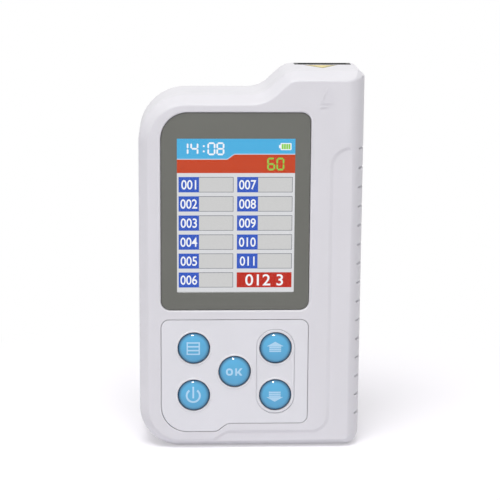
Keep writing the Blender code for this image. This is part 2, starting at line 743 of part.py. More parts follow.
def surround_corners(amount):
    """The long round surround of the up and down keys."""
    half = KEY_RADIUS + GAP + SURROUND_MARGIN
    x = KEYPAD_X + KEY_PITCH_X
    low = KEYPAD_Z - KEY_PITCH_Z - half
    high = KEYPAD_Z + KEY_PITCH_Z + half
    return inset(rectangle(x - half, x + half, low, high, half, 10), [-amount] * 4)


def keypad_film(material):
    """Film with a low raised rim round each key and one round the up and down keys together."""
    film = part("keypad_film", prism(fillet(film_corners()), FILM_SET, FILM_SET + FILM_THICK), material)
    middle = FILM_SET + FILM_THICK / 2
    rim = prism(fillet(surround_corners(0.0)), FILM_SET - HALO_HEIGHT, middle)
    combine(film, "film_surround", [rim], "UNION")
    inside = prism(fillet(surround_corners(-SURROUND_RIM)), FILM_SET - 2 * HALO_HEIGHT, FILM_SET)
    combine(film, "film_surround_floor", [inside], "DIFFERENCE")
    halos = []
    for _, x, z in key_places():
        edge = KEY_RADIUS + GAP + HALO_WIDTH
        crest = FILM_SET - HALO_HEIGHT
        top = edge - HALO_WIDTH / 2
        profile = ((0.0, middle), (edge, middle), (edge, FILM_SET), (top, crest), (0.0, crest))
        halos.append(turned(profile, x, z, 32))
    combine(film, "film_halos", halos, "UNION")
    holes = [
        cylinder(x, z, KEY_RADIUS + GAP, FILM_SET - 2 * HALO_HEIGHT, FILM_SET + FILM_THICK + GAP, 32)
        for _, x, z in key_places()
    ]
    combine(film, "film_holes", holes, "DIFFERENCE")
    return film


def key(name, x, z, material):
    """A domed cap that stands through the film, with a flange behind the shell and a stem."""
    steps = 5
    profile = []
    for k in range(steps + 1):
        turn = math.pi / 2 * k / steps
        rise = (KEY_PROUD - KEY_SHOULDER) * math.cos(turn)
        profile.append((KEY_RADIUS * math.sin(turn), -KEY_SHOULDER - rise))
    profile.append((KEY_RADIUS, FLANGE_FRONT))
    profile.append((KEY_RADIUS + KEY_FLANGE, FLANGE_FRONT))
    profile.append((KEY_RADIUS + KEY_FLANGE, FLANGE_FRONT + KEY_FLANGE_THICK))
    profile.append((KEY_STEM_RADIUS, FLANGE_FRONT + KEY_FLANGE_THICK))
    profile.append((KEY_STEM_RADIUS, STEM_BACK))
    profile.append((0.0, STEM_BACK))
    return part(name + "_key", turned(profile, x, z, 28), material, (x, FACE_Y, z))


def key_switch(name, x, z, material):
    half = SWITCH_SIZE / 2
    body = block(x - half, x + half, SWITCH_FRONT, BOARD_FRONT - GAP, z - half, z + half)
    switch = part(name + "_switch", body, material, smooth=False)
    plunger = cylinder(x, z, KEY_STEM_RADIUS, PLUNGER_FRONT, SWITCH_FRONT + GAP, 16)
    combine(switch, name + "_plunger", [plunger], "UNION")
    return switch


def board_chips():
    """Processor, memory, radio can and buzzer on the back of the board."""
    root = BOARD_BACK - GAP
    left = POST_X0 + POST_RADIUS + CHIP_ROOM
    right = BOARD_X1 - CHIP_ROOM
    middle = (PICTURE_Z0 + PICTURE_Z1) / 2
    half = PROCESSOR_SIZE / 2
    radio_z = middle + half + CHIP_ROOM
    return [
        block(left, left + PROCESSOR_SIZE, root, BOARD_BACK + PROCESSOR_HEIGHT, middle - half, middle + half),
        block(right - MEMORY_SIZE, right, root, BOARD_BACK + MEMORY_HEIGHT, middle, middle + MEMORY_SIZE),
        block(left, left + RADIO_WIDTH, root, BOARD_BACK + RADIO_HEIGHT, radio_z, radio_z + RADIO_LENGTH),
        cylinder(
            BOARD_X1 - BUZZER_EDGE - BUZZER_RADIUS,
            BOARD_FOOT_Z + BUZZER_EDGE + BUZZER_RADIUS,
            BUZZER_RADIUS,
            root,
            BOARD_BACK + BUZZER_HEIGHT,
            20,
        ),
    ]


def main_board(material):
    """Circuit board notched round the screw posts."""
    corners = rectangle(BOARD_X0, BOARD_X1, BOARD_FOOT_Z, BOARD_Z1)
    lower_left = (BOARD_X0, BOARD_FOOT_Z, BOTTOM_LEFT_RADIUS - SIDE_WALL, 5)
    upper_left = (BOARD_X0, BOARD_Z1, SHOULDER_RADIUS - SIDE_WALL, 5)
    board = part(
        "main_board",
        prism(fillet([lower_left, corners[1], corners[2], upper_left]), BOARD_FRONT, BOARD_BACK),
        material,
        smooth=False,
    )
    holes = [
        cylinder(x, z, POST_RADIUS + GAP, BOARD_FRONT - GAP, BOARD_BACK + GAP, 20) for x, z in CASE_POSTS[:3]
    ]
    shank = BOARD_SHANK_RADIUS + GAP
    holes += [cylinder(x, z, shank, BOARD_FRONT - GAP, BOARD_BACK + GAP, 12) for x, z in BOARD_POSTS]
    combine(board, "board_holes", holes, "DIFFERENCE")
    combine(board, "board_chips", board_chips(), "UNION")
    return board


def usb_socket(material):
    """Metal socket shell with its tongue, mouth flush in the left wall."""
    front = BOARD_BACK + GAP
    back = front + USB_HEIGHT
    x0 = USB_SET - HALF
    x1 = x0 + USB_LENGTH
    half = USB_WIDTH / 2
    tube = block(x0, x1, front, back, USB_Z - half, USB_Z + half)
    socket = part("usb_socket", tube, material, smooth=False)
    wall = USB_WALL
    mouth = block(x0 - wall, x1 - wall, front + wall, back - wall, USB_Z - half + wall, USB_Z + half - wall)
    combine(socket, "socket_mouth", [mouth], "DIFFERENCE")
    middle = (front + back) / 2
    tongue = block(x0 + 2 * wall, x1 - wall / 2, middle - wall, middle, USB_Z - half / 2, USB_Z + half / 2)
    combine(socket, "socket_tongue", [tongue], "UNION")
    return socket


def battery_cell(material):
    outline = rectangle(BATTERY_X0, BATTERY_X1, BATTERY_Z0, BATTERY_Z1, RIB_THICK, 3)
    return part("battery_cell", prism(fillet(outline), BATTERY_BACK - BATTERY_THICK, BATTERY_BACK), material)


def strip_guide(material):
    """Flat tube whose mouth lines the slot, closed at its foot, with a long window for the optics."""
    tube = block(SLOT_X0, SLOT_X1, SLOT_FRONT, SLOT_BACK, GUIDE_FOOT_Z, GUIDE_TOP)
    guide = part("strip_guide", tube, material, smooth=False)
    wall = GUIDE_WALL
    front = SLOT_FRONT + wall
    floor = GUIDE_FOOT_Z + wall
    bore = block(SLOT_X0 + wall, SLOT_X1 - wall, front, SLOT_BACK - wall, floor, GUIDE_TOP + GAP)
    combine(guide, "guide_bore", [bore], "DIFFERENCE")
    half = WELL_WIDTH / 2
    window = block(SLOT_X - half, SLOT_X + half, SLOT_FRONT - GAP, front + GAP, WELLS_Z0, WELLS_Z1)
    combine(guide, "guide_window", [window], "DIFFERENCE")
    return guide


def strip_tray(material):
    """Sliding tray with a bed for the strip and a finger lip at its top end."""
    x0 = SLOT_X0 + GUIDE_WALL + TRAY_PLAY
    x1 = SLOT_X1 - GUIDE_WALL - TRAY_PLAY
    back = SLOT_BACK - GUIDE_WALL - TRAY_PLAY
    front = back - TRAY_THICK
    z0 = GUIDE_FOOT_Z + GUIDE_WALL + GAP
    z1 = BODY_HEIGHT - TRAY_TOP_DROP
    origin = (SLOT_X, FACE_Y + (front + back) / 2, z1)
    tray = part("strip_tray", block(x0, x1, front, back, z0, z1), material, origin, smooth=False)
    half = TRAY_BED_WIDTH / 2
    bed = block(SLOT_X - half, SLOT_X + half, front - GAP, front + TRAY_BED_DEPTH, WELLS_Z0, z1 - TRAY_HEAD)
    reach = TRAY_NOTCH_WIDTH / 2
    top = z1 - TRAY_LIP
    nail = block(
        SLOT_X - reach, SLOT_X + reach, front - GAP, front + TRAY_THICK / 2, top - TRAY_NOTCH_HEIGHT, top
    )
    combine(tray, "tray_bed", [bed, nail], "DIFFERENCE")
    return tray


def sensor_block(material):
    """Light block: one well for each pad of the strip."""
    half = BLOCK_WIDTH / 2
    z0 = WELLS_Z0 - BLOCK_MARGIN
    z1 = WELLS_Z1 + BLOCK_MARGIN
    body = block(SLOT_X - half, SLOT_X + half, BLOCK_FRONT, BLOCK_BACK, z0, z1)
    made = part("sensor_block", body, material, smooth=False)
    wells = []
    wide = WELL_WIDTH / 2
    for k in range(WELL_COUNT):
        low = WELLS_Z0 + WELL_PITCH * k + WELL_WALL / 2
        high = WELLS_Z0 + WELL_PITCH * (k + 1) - WELL_WALL / 2
        wells.append(block(SLOT_X - wide, SLOT_X + wide, BLOCK_FRONT - GAP, BLOCK_BACK + GAP, low, high))
    combine(made, "block_wells", wells, "DIFFERENCE")
    return made


def sensor_board(material):
    """Narrow board with a lamp and a detector behind each well."""
    half = BLOCK_WIDTH / 2 + BLOCK_MARGIN / 2
    front = SENSOR_BACK - SENSOR_THICK
    z0 = WELLS_Z0 - 2 * BLOCK_MARGIN
    z1 = WELLS_Z1 + 2 * BLOCK_MARGIN
    body = block(SLOT_X - half, SLOT_X + half, front, SENSOR_BACK, z0, z1)
    made = part("sensor_board", body, material, smooth=False)
    parts = []
    for k in range(WELL_COUNT):
        z = WELLS_Z0 + WELL_PITCH * (k + 0.5)
        for x in (SLOT_X - LAMP_SIZE, SLOT_X + LAMP_SIZE):
            reach = LAMP_SIZE / 2
            back = SENSOR_BACK + LAMP_HEIGHT
            parts.append(block(x - reach, x + reach, SENSOR_BACK - GAP, back, z - reach, z + reach))
    combine(made, "sensor_lamps", parts, "UNION")
    return made


def screw(name, x, z, seat, length, shank, head, height, material):
    """A pan-head screw whose head bears at a depth and whose shank points forward."""
    slot = head / 2
    profile = (
        (0.0, seat - length),
        (shank * 0.6, seat - length),
        (shank, seat - length + shank),
        (shank, seat),
        (head, seat),
        (head, seat + height * 0.6),
        (head * 0.75, seat + height),
        (slot, seat + height),
        (slot * 0.6, seat + height * 0.4),
        (0.0, seat + height * 0.4),
    )
    return part(name, turned(profile, x, z, 12), material)


def slot_mark(material):
    return part(
        "slot_mark", mark_outline(0.0, BODY_HEIGHT - MARK_SET - MARK_THICK, BODY_HEIGHT - MARK_SET), material
    )


def build():
    clear_scene()
    white = finish("white_abs", "DFE0E5", 0.42)
    grey = finish("grey_lens", "73736E", 0.18)
    pale = finish("film_polycarbonate", "E0E1E6", 0.35)
    blue = finish("key_blue", "67ADD8", 0.15)
    black = finish("black_abs", "161618", 0.5)
    green = finish("circuit_board", "1F5A36", 0.5)
    steel = finish("zinc_steel", "B8BABD", 0.3, 1.0)
    foil = finish("battery_foil", "9DA1A6", 0.35, 0.6)
    amber = finish("amber_mark", "E9B22E", 0.5)
    copper_brown = finish("polyimide_tail", "9A5A1E", 0.35)
    tray_white = finish("tray_abs", "E8E8E6", 0.45)
    front_shell(white)
    rear_shell(white)
    display_lens(grey)
    lcd_module(steel)
    lcd_holder(black)
    display_tail(copper_brown)
    keypad_film(pale)
    for name, x, z in key_places():
        key(name, x, z, blue)
        key_switch(name, x, z, black)
    main_board(green)
    usb_socket(steel)
    battery_cell(foil)
    strip_guide(black)
    strip_tray(tray_white)
    sensor_block(black)
    sensor_board(green)
    slot_mark(amber)
    for k, (x, z) in enumerate(CASE_POSTS):
        seat = CASE_SEAT_DEPTH + GAP
        size = (CASE_SCREW_LENGTH, CASE_SHANK_RADIUS, CASE_HEAD_RADIUS, CASE_HEAD_HEIGHT)
        screw("case_screw_" + str(k + 1), x, z, seat, *size, steel)
    for k, (x, z) in enumerate(BOARD_POSTS):
        seat = BOARD_BACK + GAP
        size = (BOARD_SCREW_LENGTH, BOARD_SHANK_RADIUS, BOARD_HEAD_RADIUS, BOARD_HEAD_HEIGHT)
        screw("board_screw_" + str(k + 1), x, z, seat, *size, steel)


build()
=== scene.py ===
"""Looks for a handheld urine analyzer: moulded shells, lit display, keypad with domed keys, strip tray.

Metres. X runs right, Z up, Y back. Depths are measured back from the front face.
"""

import math

import bmesh
import bpy
from mathutils import Matrix, Vector

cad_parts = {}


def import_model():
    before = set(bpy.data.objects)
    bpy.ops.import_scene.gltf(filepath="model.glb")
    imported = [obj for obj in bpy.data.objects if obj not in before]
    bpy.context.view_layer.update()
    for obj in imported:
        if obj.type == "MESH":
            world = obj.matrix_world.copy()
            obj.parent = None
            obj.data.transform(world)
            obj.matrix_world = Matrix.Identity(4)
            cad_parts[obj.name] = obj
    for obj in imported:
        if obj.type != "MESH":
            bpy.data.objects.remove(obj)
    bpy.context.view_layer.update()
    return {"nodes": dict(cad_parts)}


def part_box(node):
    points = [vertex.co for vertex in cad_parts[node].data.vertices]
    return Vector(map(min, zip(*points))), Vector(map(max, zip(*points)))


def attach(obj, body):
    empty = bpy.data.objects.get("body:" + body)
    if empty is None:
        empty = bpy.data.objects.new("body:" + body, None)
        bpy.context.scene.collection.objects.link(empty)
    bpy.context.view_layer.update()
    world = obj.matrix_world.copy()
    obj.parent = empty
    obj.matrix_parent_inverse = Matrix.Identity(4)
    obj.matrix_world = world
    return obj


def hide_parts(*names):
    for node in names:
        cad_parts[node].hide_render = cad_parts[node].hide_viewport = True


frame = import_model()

MM = 0.001

# Clearance between neighbouring pieces, and how far a cutter reaches past a face or the outer skin
GAP = 0.3 * MM
PAST = 1.0 * MM
CUT_PAST = 2.5 * MM

# Mesh work: distances for merging points, the share of an edge that a fillet may take, shading
WELD = 1e-7
NODE_WELD = 1e-6
FILLET_SHARE = 0.48
SHARP_ANGLE = math.radians(35)
FLAT_ANGLE = math.radians(1)
NORMAL_WEIGHT = 60
ROUND_STEPS = 64

# Body outline, as seen from the front
SHELL_LOW, SHELL_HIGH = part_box("front_shell")
REAR_LOW, REAR_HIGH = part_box("rear_shell")
FACE_Y = SHELL_LOW.y
HALF = SHELL_HIGH.x
BODY_HEIGHT = SHELL_HIGH.z
BODY_DEPTH = REAR_HIGH.y - FACE_Y
SHOULDER_Z = BODY_HEIGHT - 7.8 * MM
TOWER_FOOT_X = HALF - 33.6 * MM
TOWER_SLOPE_RUN = 8.5 * MM
TOWER_FOOT_RADIUS = 9.9 * MM
TOWER_HEAD_RADIUS = 7.3 * MM
TOWER_CORNER_CUT = 2.0 * MM
TOWER_CORNER_RADIUS = 1.0 * MM
TOWER_CORNER_LEAST = 0.5 * MM
SHOULDER_RADIUS = 15.5 * MM
BOTTOM_LEFT_RADIUS = 13.5 * MM
BOTTOM_RIGHT_RADIUS = 4.8 * MM

# Section of the rim: a chamfer with soft edges, a large round on the grip side, a small round behind
CHAMFER_RUN = 2.95 * MM
CHAMFER_DEPTH = 4.0 * MM
CHAMFER_FACE_RADIUS = 1.0 * MM
CHAMFER_SIDE_RADIUS = 3.0 * MM
CHAMFER_END = CHAMFER_DEPTH + CHAMFER_SIDE_RADIUS * math.tan(math.atan2(CHAMFER_RUN, CHAMFER_DEPTH) / 2)
GRIP_RUN = 6.1 * MM
GRIP_DEPTH = 9.0 * MM
BACK_ROUND = 2.4 * MM
PARTING_DEPTH = 10.0 * MM
PARTING_ROUND = 0.12 * MM
STATION_POWER = 1.8
REAR_START = PARTING_DEPTH + 0.1 * MM
SIDE_WALL = 2.2 * MM
FACE_WALL = 2.6 * MM
BACK_WALL = 2.0 * MM

# Lowered band on the front
BAND_STEP = 0.4 * MM
BAND_RAMP = 1.5 * MM
BAND_EDGE_MARGIN = 10.95 * MM
BAND_TOP_DROP = 24.8 * MM
BAND_TOP_RADIUS = 9.0 * MM
BAND_FOOT_Z = 5.75 * MM
BAND_FOOT_RADIUS = 5.5 * MM
BAND_END_MARGIN = 29.15 * MM
BAND_END_RADIUS = 4.0 * MM
BAND_END_SLANT = 1.7

# Finger grooves: square at the top, sloping out at the foot
GROOVE_COUNT = 15
GROOVE_PITCH = 6.392 * MM
GROOVE_FIRST_Z = 11.08 * MM
GROOVE_HEIGHT = 1.1 * MM
GROOVE_SLOPE = 0.6 * MM
GROOVE_CUT = 0.8 * MM
GROOVE_EASE = 5.0
GROOVE_FROM = 2.2 * MM
GROOVE_TO = 18.0 * MM

# Screw posts and wells of the rear shell
POST_RADIUS = 4.0 * MM
WELL_SINK = 2.2 * MM
WELL_ROUND = 0.4 * MM

# Lens and film, placed by the frame
LENS_LOW, LENS_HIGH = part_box("display_lens")
LENS_SET = LENS_LOW.y - FACE_Y
LENS_BACK = LENS_HIGH.y - FACE_Y
LENS_BIG_RADIUS = 8.75 * MM
LENS_RADIUS = 3.0 * MM
LENS_GAP = 0.15 * MM
LENS_LIP = 0.55 * MM
LENS_BEVEL = 0.2 * MM
FILM_LOW, FILM_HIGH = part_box("keypad_film")
FILM_SET = 0.1 * MM
FILM_BACK = FILM_HIGH.y - FACE_Y
FILM_STEP = 2.8 * MM
FILM_STEP_X = 18.3 * MM
FILM_STEP_RUN = 3.5 * MM
FILM_RADIUS = 2.5 * MM
FILM_STEP_RADIUS = 3.0 * MM
FILM_GAP = 0.2 * MM
FILM_LIP = 0.06 * MM
HALO_START = 0.15 * MM
HALO_WIDTH = 0.75 * MM
BEAD_HEIGHT = 0.2 * MM
BEAD_SINK = 0.2 * MM
PILL_MARGIN = 0.82 * MM
PILL_RIM = 0.45 * MM
PILL_LINE = 0.22 * MM

# Keys
KEY_NAMES = ("menu", "ok", "power", "up", "down")
KEY_FLANGE_RADIUS = (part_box("ok_key")[1].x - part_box("ok_key")[0].x) / 2
KEY_FLANGE_THICK = 0.8 * MM
KEY_STEM_RADIUS = 1.7 * MM
KEY_HOLE = KEY_FLANGE_RADIUS - 0.6 * MM
KEY_RADIUS = KEY_HOLE - 0.15 * MM
DOME_PROUD = 1.05 * MM
DOME_SKIRT = 0.35 * MM
DOME_POWER = 3.2
ICON_SHIFT = Vector((-0.2, 0.0, 0.13)) * MM
ICON_RISE = 2.0
ICON_GRID = 0.49 * MM
ICON_CUTS = 6
# Painted shade: each key's blue darkens in steps from the middle to the rim, where the clear dome turns away
# from the light
KEY_RIM_SHADE_STEPS = ((0.77, "54A8D4"), (0.86, "4C92B9"), (0.93, "3F6F91"))
KEY_MIDDLE = "5CAFDA"
KEY_RIM_PAINTED_SHADE = "2E4B63"

# Plain relief on the front of the tower, and the mark behind it
RELIEF_X = 24.15 * MM
RELIEF_WIDTH = 4.8 * MM
RELIEF_TOP_DROP = 4.8 * MM
RELIEF_HEIGHT = 5.5 * MM
RELIEF_STROKE = 0.45 * MM
RELIEF_RISE = 0.18 * MM
RELIEF_CORNER = (0.2 * MM, 3)
MARK_BORDER = 1.5 * MM

# Black lip at the strip slot, a black sheet of painted shade deep in the slot, and the edge rounds of pieces
# that keep their solid's form
LIP_DEPTH = 1.0 * MM
SHADE_SHEET_MARGIN = 0.2 * MM
GUIDE_ROUND = 0.15 * MM
TRAY_ROUND = 0.2 * MM
SOCKET_ROUND = 0.1 * MM
MARK_ROUND = 0.05 * MM

# Display picture, measured from its left and top edges
LCD_LOW, LCD_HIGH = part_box("lcd_module")
LCD_MARGIN = 2.1 * MM
PICTURE_X = LCD_LOW.x + LCD_MARGIN
PICTURE_TOP = LCD_HIGH.z - LCD_MARGIN
PICTURE_WIDTH = LCD_HIGH.x - LCD_LOW.x - 2 * LCD_MARGIN
PICTURE_HEIGHT = LCD_HIGH.z - LCD_LOW.z - 2 * LCD_MARGIN
PICTURE_DEPTH = LENS_BACK + 0.26 * MM
WINDOW_RISE = 0.15 * MM
INK = 0.02 * MM
HEADER_LEFT_DROP = 6.53 * MM
HEADER_RIGHT_DROP = 4.87 * MM
HEADER_STEP = (16.28 * MM, 18.62 * MM)
HEADER_LINE = 0.28 * MM
RED_DROP = 11.21 * MM
ROW_TOP = 12.5 * MM
ROW_PITCH = 6.332 * MM
ROW_HEIGHT = 5.05 * MM
ROW_COUNT = 6
COLUMNS = ((0.51 * MM, 7.17 * MM, 18.35 * MM), (19.54 * MM, 26.34 * MM, 37.56 * MM))
CELL_LINE = 0.17 * MM
LABEL_SIZE = 4.3 * MM
LABEL_STRETCH = 0.87
FIGURE_BOLD = 0.05 * MM
WIDE_SIZE = 5.3 * MM
WIDE_STRETCH = 1.07
CLOCK_TOP = 1.15 * MM
CLOCK_TALL = 4.2 * MM
CLOCK_WIDE = 2.6 * MM
CLOCK_FIGURES = (("1", 3.2 * MM), ("4", 4.35 * MM), ("0", 9.85 * MM), ("8", 12.75 * MM))
CLOCK_DOTS_X = 8.4 * MM
CLOCK_DOT = 0.28 * MM
COUNT_TOP = 6.15 * MM
COUNT_TALL = 4.15 * MM
COUNT_FIGURES = (("6", 29.2 * MM), ("0", 32.2 * MM))
STROKE = 0.55 * MM
STROKE_GAP = 0.14 * STROKE
CHARGE_SIGN = (33.5 * MM, 37.05 * MM, 1.38 * MM, 3.67 * MM)
CHARGE_RIM = 0.3 * MM
CHARGE_NUB = 0.5 * MM
CHARGE_BARS = 4
CHARGE_BAR_GAP = 0.06 * MM
SEGMENTS = {"0": "abcdef", "1": "ef", "4": "bcfg", "6": "acdefg", "8": "abcdefg"}
SEGMENT_ENDS = {
    "a": ((0, 2), (1, 2)),
    "b": ((1, 1), (1, 2)),
    "c": ((1, 0), (1, 1)),
    "d": ((0, 0), (1, 0)),
    "e": ((0, 0), (0, 1)),
    "f": ((0, 1), (0, 2)),
    "g": ((0, 1), (1, 1)),
}
SCREEN_COLOURS = {
    "ground": "D9DADD",
    "sky_blue": "50B0E0",
    "red": "C5482A",
    "pale_line": "C9D6E4",
    "label_blue": "3A5CC0",
    "grey_line": "6A6C76",
    "cell_grey": "CDCDCD",
    "cell_red": "BC3024",
    "white": "F4F6FA",
    "green": "8AD052",
}

# Finishes with a grain: name, two near colours, grain and depth of its bumps in mm, shader values
GRAINED = {
    # Moulded ABS: satin white that scatters light, over a spark-eroded grain of about 0.35 mm
    "white": ("moulded_white_abs", "D5D4D9", "DAD9DE", 0.35, 0.01, {"Roughness": 0.42, "IOR": 1.53}),
    # Matt polycarbonate film: a shade paler than the shell and smoother, with a velvet of 0.25 mm
    "film": ("matt_polycarbonate", "D9D9DE", "DEDEE3", 0.25, 0.005, {"Roughness": 0.36, "IOR": 1.58}),
    # Polished acrylic with warm grey ink behind it: dark, even and glossy
    "grey": ("grey_ink_behind_acrylic", "64655F", "696A64", 0.3, 0.0006, {"Roughness": 0.1, "IOR": 1.49}),
    # Moulded black ABS with a fine grain, nearly lightless in the slot
    "black": ("moulded_black_abs", "0B0B0C", "131315", 0.3, 0.01, {"Roughness": 0.5, "IOR": 1.53}),
    # Moulded tray: warmer and a little yellower than the shell
    "ivory": ("moulded_tray_abs", "D6D6D0", "DEDED8", 0.35, 0.01, {"Roughness": 0.42, "IOR": 1.53}),
    # Printed film of the mark: yellow field in an olive border
    "yellow": ("yellow_printed_film", "D8C474", "E4D28A", 0.4, 0.004, {"Roughness": 0.4}),
    "olive": ("olive_printed_film", "9A8D4A", "A59853", 0.4, 0.004, {"Roughness": 0.4}),
    # Zinc plate: bright grey metal with a fine turned grain
    "steel": ("zinc_plated_steel", "A9ACB0", "C4C6C9", 0.2, 0.004, {"Roughness": 0.28, "Metallic": 1.0}),
    # Solder mask over laminate: green, glossy, with the weave of the glass cloth just showing
    "board": ("green_solder_mask", "17482A", "23663C", 0.4, 0.01, {"Roughness": 0.3, "IOR": 1.55}),
    # Laminated pouch: soft metal sheen, slightly creased
    "foil": ("laminated_foil", "8F9398", "A9ADB1", 0.5, 0.02, {"Roughness": 0.3, "Metallic": 0.8}),
    # Polyimide film: clear copper brown, smooth
    "brown": ("polyimide_film", "93541B", "A1621F", 0.5, 0.002, {"Roughness": 0.25, "IOR": 1.7}),
}

# Light
SKY_LEVEL = 0.25
SKY_SLOPE = (-0.08, -0.1, 0.4)
FLOOR_LIFT = 0.29
FLOOR_GLOW = 0.2
FLOOR_FADE = (0.09, 0.16)
FLOOR_HALF = 3.0
FLOOR_COLOUR = "DAD8DD"
WHITE = "FFFFFF"
LAMP_COLOUR = "FFFEFD"
SOFT_LAMP = {"place": (-0.15, -0.65, 1.5), "size": 0.9, "power": 18.0}
GLINT_LAMP = {"place": (-0.1, -0.8, 0.85), "size": 0.16, "power": 5.0}

# Camera, fitted to the photo at 500 x 500
CAMERA_PLACE = Vector((-24.94, -565.34, 183.43)) * MM
CAMERA_YAW = -0.0443
CAMERA_PITCH = 0.2069
CAMERA_ROLL = 0.007
FOCAL_PIXELS = 1727.4
PHOTO_PIXELS = 500
SENSOR_WIDTH = 36.0


def linear(code):
    """An sRGB hex colour as linear values."""
    levels = [int(code[i : i + 2], 16) / 255 for i in (0, 2, 4)]
    return [v / 12.92 if v < 0.04045 else ((v + 0.055) / 1.055) ** 2.4 for v in levels] + [1.0]


def add_node(tree, kind, values=None, links=None, **settings):
    """A node with its settings, socket values and incoming links."""
    made = tree.nodes.new(kind)
    for name, value in settings.items():
        setattr(made, name, value)
    for name, value in (values or {}).items():
        made.inputs[name].default_value = value
    for name, source in (links or {}).items():
        tree.links.new(source, made.inputs[name])
    return made


def new_material(name, code, **values):
    """A Principled material; values are its sockets, with spaces written as underscores."""
    made = bpy.data.materials.new(name)
    made.use_nodes = True
    shader = made.node_tree.nodes["Principled BSDF"]
    shader.inputs["Base Color"].default_value = linear(code)
    for socket, value in values.items():
        shader.inputs[socket.replace("_", " ")].default_value = value
    return made


def cloud(made, socket, low, high, width):
    """Clouds two colours together over a width, into one socket; gives back the place on the object."""
    tree = made.node_tree
    place = add_node(tree, "ShaderNodeTexCoord").outputs["Object"]
    noise = add_node(tree, "ShaderNodeTexNoise", {"Scale": 1 / width, "Detail": 2.0}, {"Vector": place})
    ends = {6: low, 7: high}
    blend = add_node(tree, "ShaderNodeMix", ends, {"Factor": noise.outputs["Fac"]}, data_type="RGBA")
    tree.links.new(blend.outputs[2], tree.nodes["Principled BSDF"].inputs[socket])
    return place


def grained(name, low, high, grain, depth, **values):
    """Two near colours clouded together over a fine moulded grain; grain and depth are lengths."""
    made = new_material(name, high, **values)
    tree = made.node_tree
    place = cloud(made, "Base Color", linear(low), linear(high), 40 * grain)
    speck = add_node(tree, "ShaderNodeTexNoise", {"Scale": 1 / grain, "Detail": 3.0}, {"Vector": place})
    relief = {"Strength": 0.5, "Distance": depth}
    bump = add_node(tree, "ShaderNodeBump", relief, {"Height": speck.outputs["Fac"]})
    tree.links.new(bump.outputs["Normal"], tree.nodes["Principled BSDF"].inputs["Normal"])
    return made


def lit_ink(name, code):
    """One display colour; the 0.16 mm pixels are too fine to show, so they are a faint mottle of 0.5 mm."""
    made = new_material(name, "050505", Roughness=0.4, Specular_IOR_Level=0.0, Emission_Strength=1.0)
    low, high = ([min(1.0, share * v) for v in linear(code)[:3]] + [1.0] for share in (0.95, 1.05))
    cloud(made, "Emission Color", low, high, 0.5 * MM)
    return made


def fillet(corners):
    """Points of a closed outline; each corner is (x, z, radius, steps), anticlockwise from the front."""
    points = []
    for i, (x, z, radius, steps) in enumerate(corners):
        here = Vector((x, z))
        back = Vector(corners[i - 1][:2]) - here
        ahead = Vector(corners[(i + 1) % len(corners)][:2]) - here
        room = FILLET_SHARE * min(back.length, ahead.length)
        back.normalize()
        ahead.normalize()
        half = back.angle(ahead) / 2
        reach = min(radius / math.tan(half), room)
        if steps == 0 or reach <= 0:
            points.append(here)
            continue
        centre = here + (back + ahead).normalized() * reach / math.cos(half)
        start = here + back * reach - centre
        end = here + ahead * reach - centre
        sweep = math.atan2(start.x * end.y - start.y * end.x, start.dot(end))
        for step in range(steps + 1):
            points.append(centre + Matrix.Rotation(sweep * step / steps, 2) @ start)
    return points


def inset(corners, amounts):
    """The outline with each edge moved inwards by its own amount; edge i leaves corner i."""
    lines = []
    for i, corner in enumerate(corners):
        start = Vector(corner[:2])
        run = (Vector(corners[(i + 1) % len(corners)][:2]) - start).normalized()
        lines.append((start + Vector((-run.y, run.x)) * amounts[i], run))
    moved = []
    for i, corner in enumerate(corners):
        (a, u), (b, v) = lines[i - 1], lines[i]
        turn = u.x * v.y - u.y * v.x
        at = a + u * (((b - a).x * v.y - (b - a).y * v.x) / turn)
        shift = math.copysign((amounts[i - 1] + amounts[i]) / 2, turn * (amounts[i - 1] + amounts[i]))
        radius = max(corner[2] - shift, GAP) if corner[2] else 0.0
        moved.append((at.x, at.y, radius, corner[3]))
    return moved


def spread(corners, amount):
    return inset(corners, [-amount] * len(corners))


def rectangle(x0, x1, z0, z1, radius=0.0, steps=0):
    return [(x, z, radius, steps) for x, z in ((x0, z0), (x1, z0), (x1, z1), (x0, z1))]


def circle(x, z, radius, steps=ROUND_STEPS):
    return [
        Vector((x + radius * math.cos(a), z + radius * math.sin(a)))
        for a in (2 * math.pi * k / steps for k in range(steps))
    ]


def at_depth(depth, points):
    return [Vector((x, FACE_Y + depth, z)) for x, z in points]


def at_height(z, points):
    return [Vector((x, FACE_Y + depth, z)) for x, depth in points]


def loft(rings):
    """A closed solid through rings of equal count, grown ring by ring from the first."""
    bm = bmesh.new()
    face = bm.faces.new([bm.verts.new(point) for point in rings[0]])
    for number, ring in enumerate(rings[1:]):
        old = face
        grown = bmesh.ops.extrude_face_region(bm, geom=[old])["geom"]
        face = next(item for item in grown if isinstance(item, bmesh.types.BMFace))
        if number:
            bmesh.ops.delete(bm, geom=[old], context="FACES_ONLY")
        for vert, point in zip(face.verts, ring):
            vert.co = point
    bmesh.ops.recalc_face_normals(bm, faces=bm.faces)
    return bm


def prism(points, front, back):
    return loft([at_depth(front, points), at_depth(back, points)])


def upright(points, foot, top):
    """A prism that stands along Z, from its plan as (x, depth)."""
    return loft([at_height(foot, points), at_height(top, points)])


def plan_of(node, reach):
    """The plan of a node's box as (x, depth), spread by reach."""
    low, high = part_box(node)
    return fillet(rectangle(low.x - reach, high.x + reach, low.y - FACE_Y - reach, high.y - FACE_Y + reach))


def quarter_turn(steps):
    """Points of a rounded edge, as the shares still to go inwards and downwards."""
    turns = [math.pi / 2 * k / steps for k in range(steps + 1)]
    return [(1 - math.cos(turn), 1 - math.sin(turn)) for turn in turns]


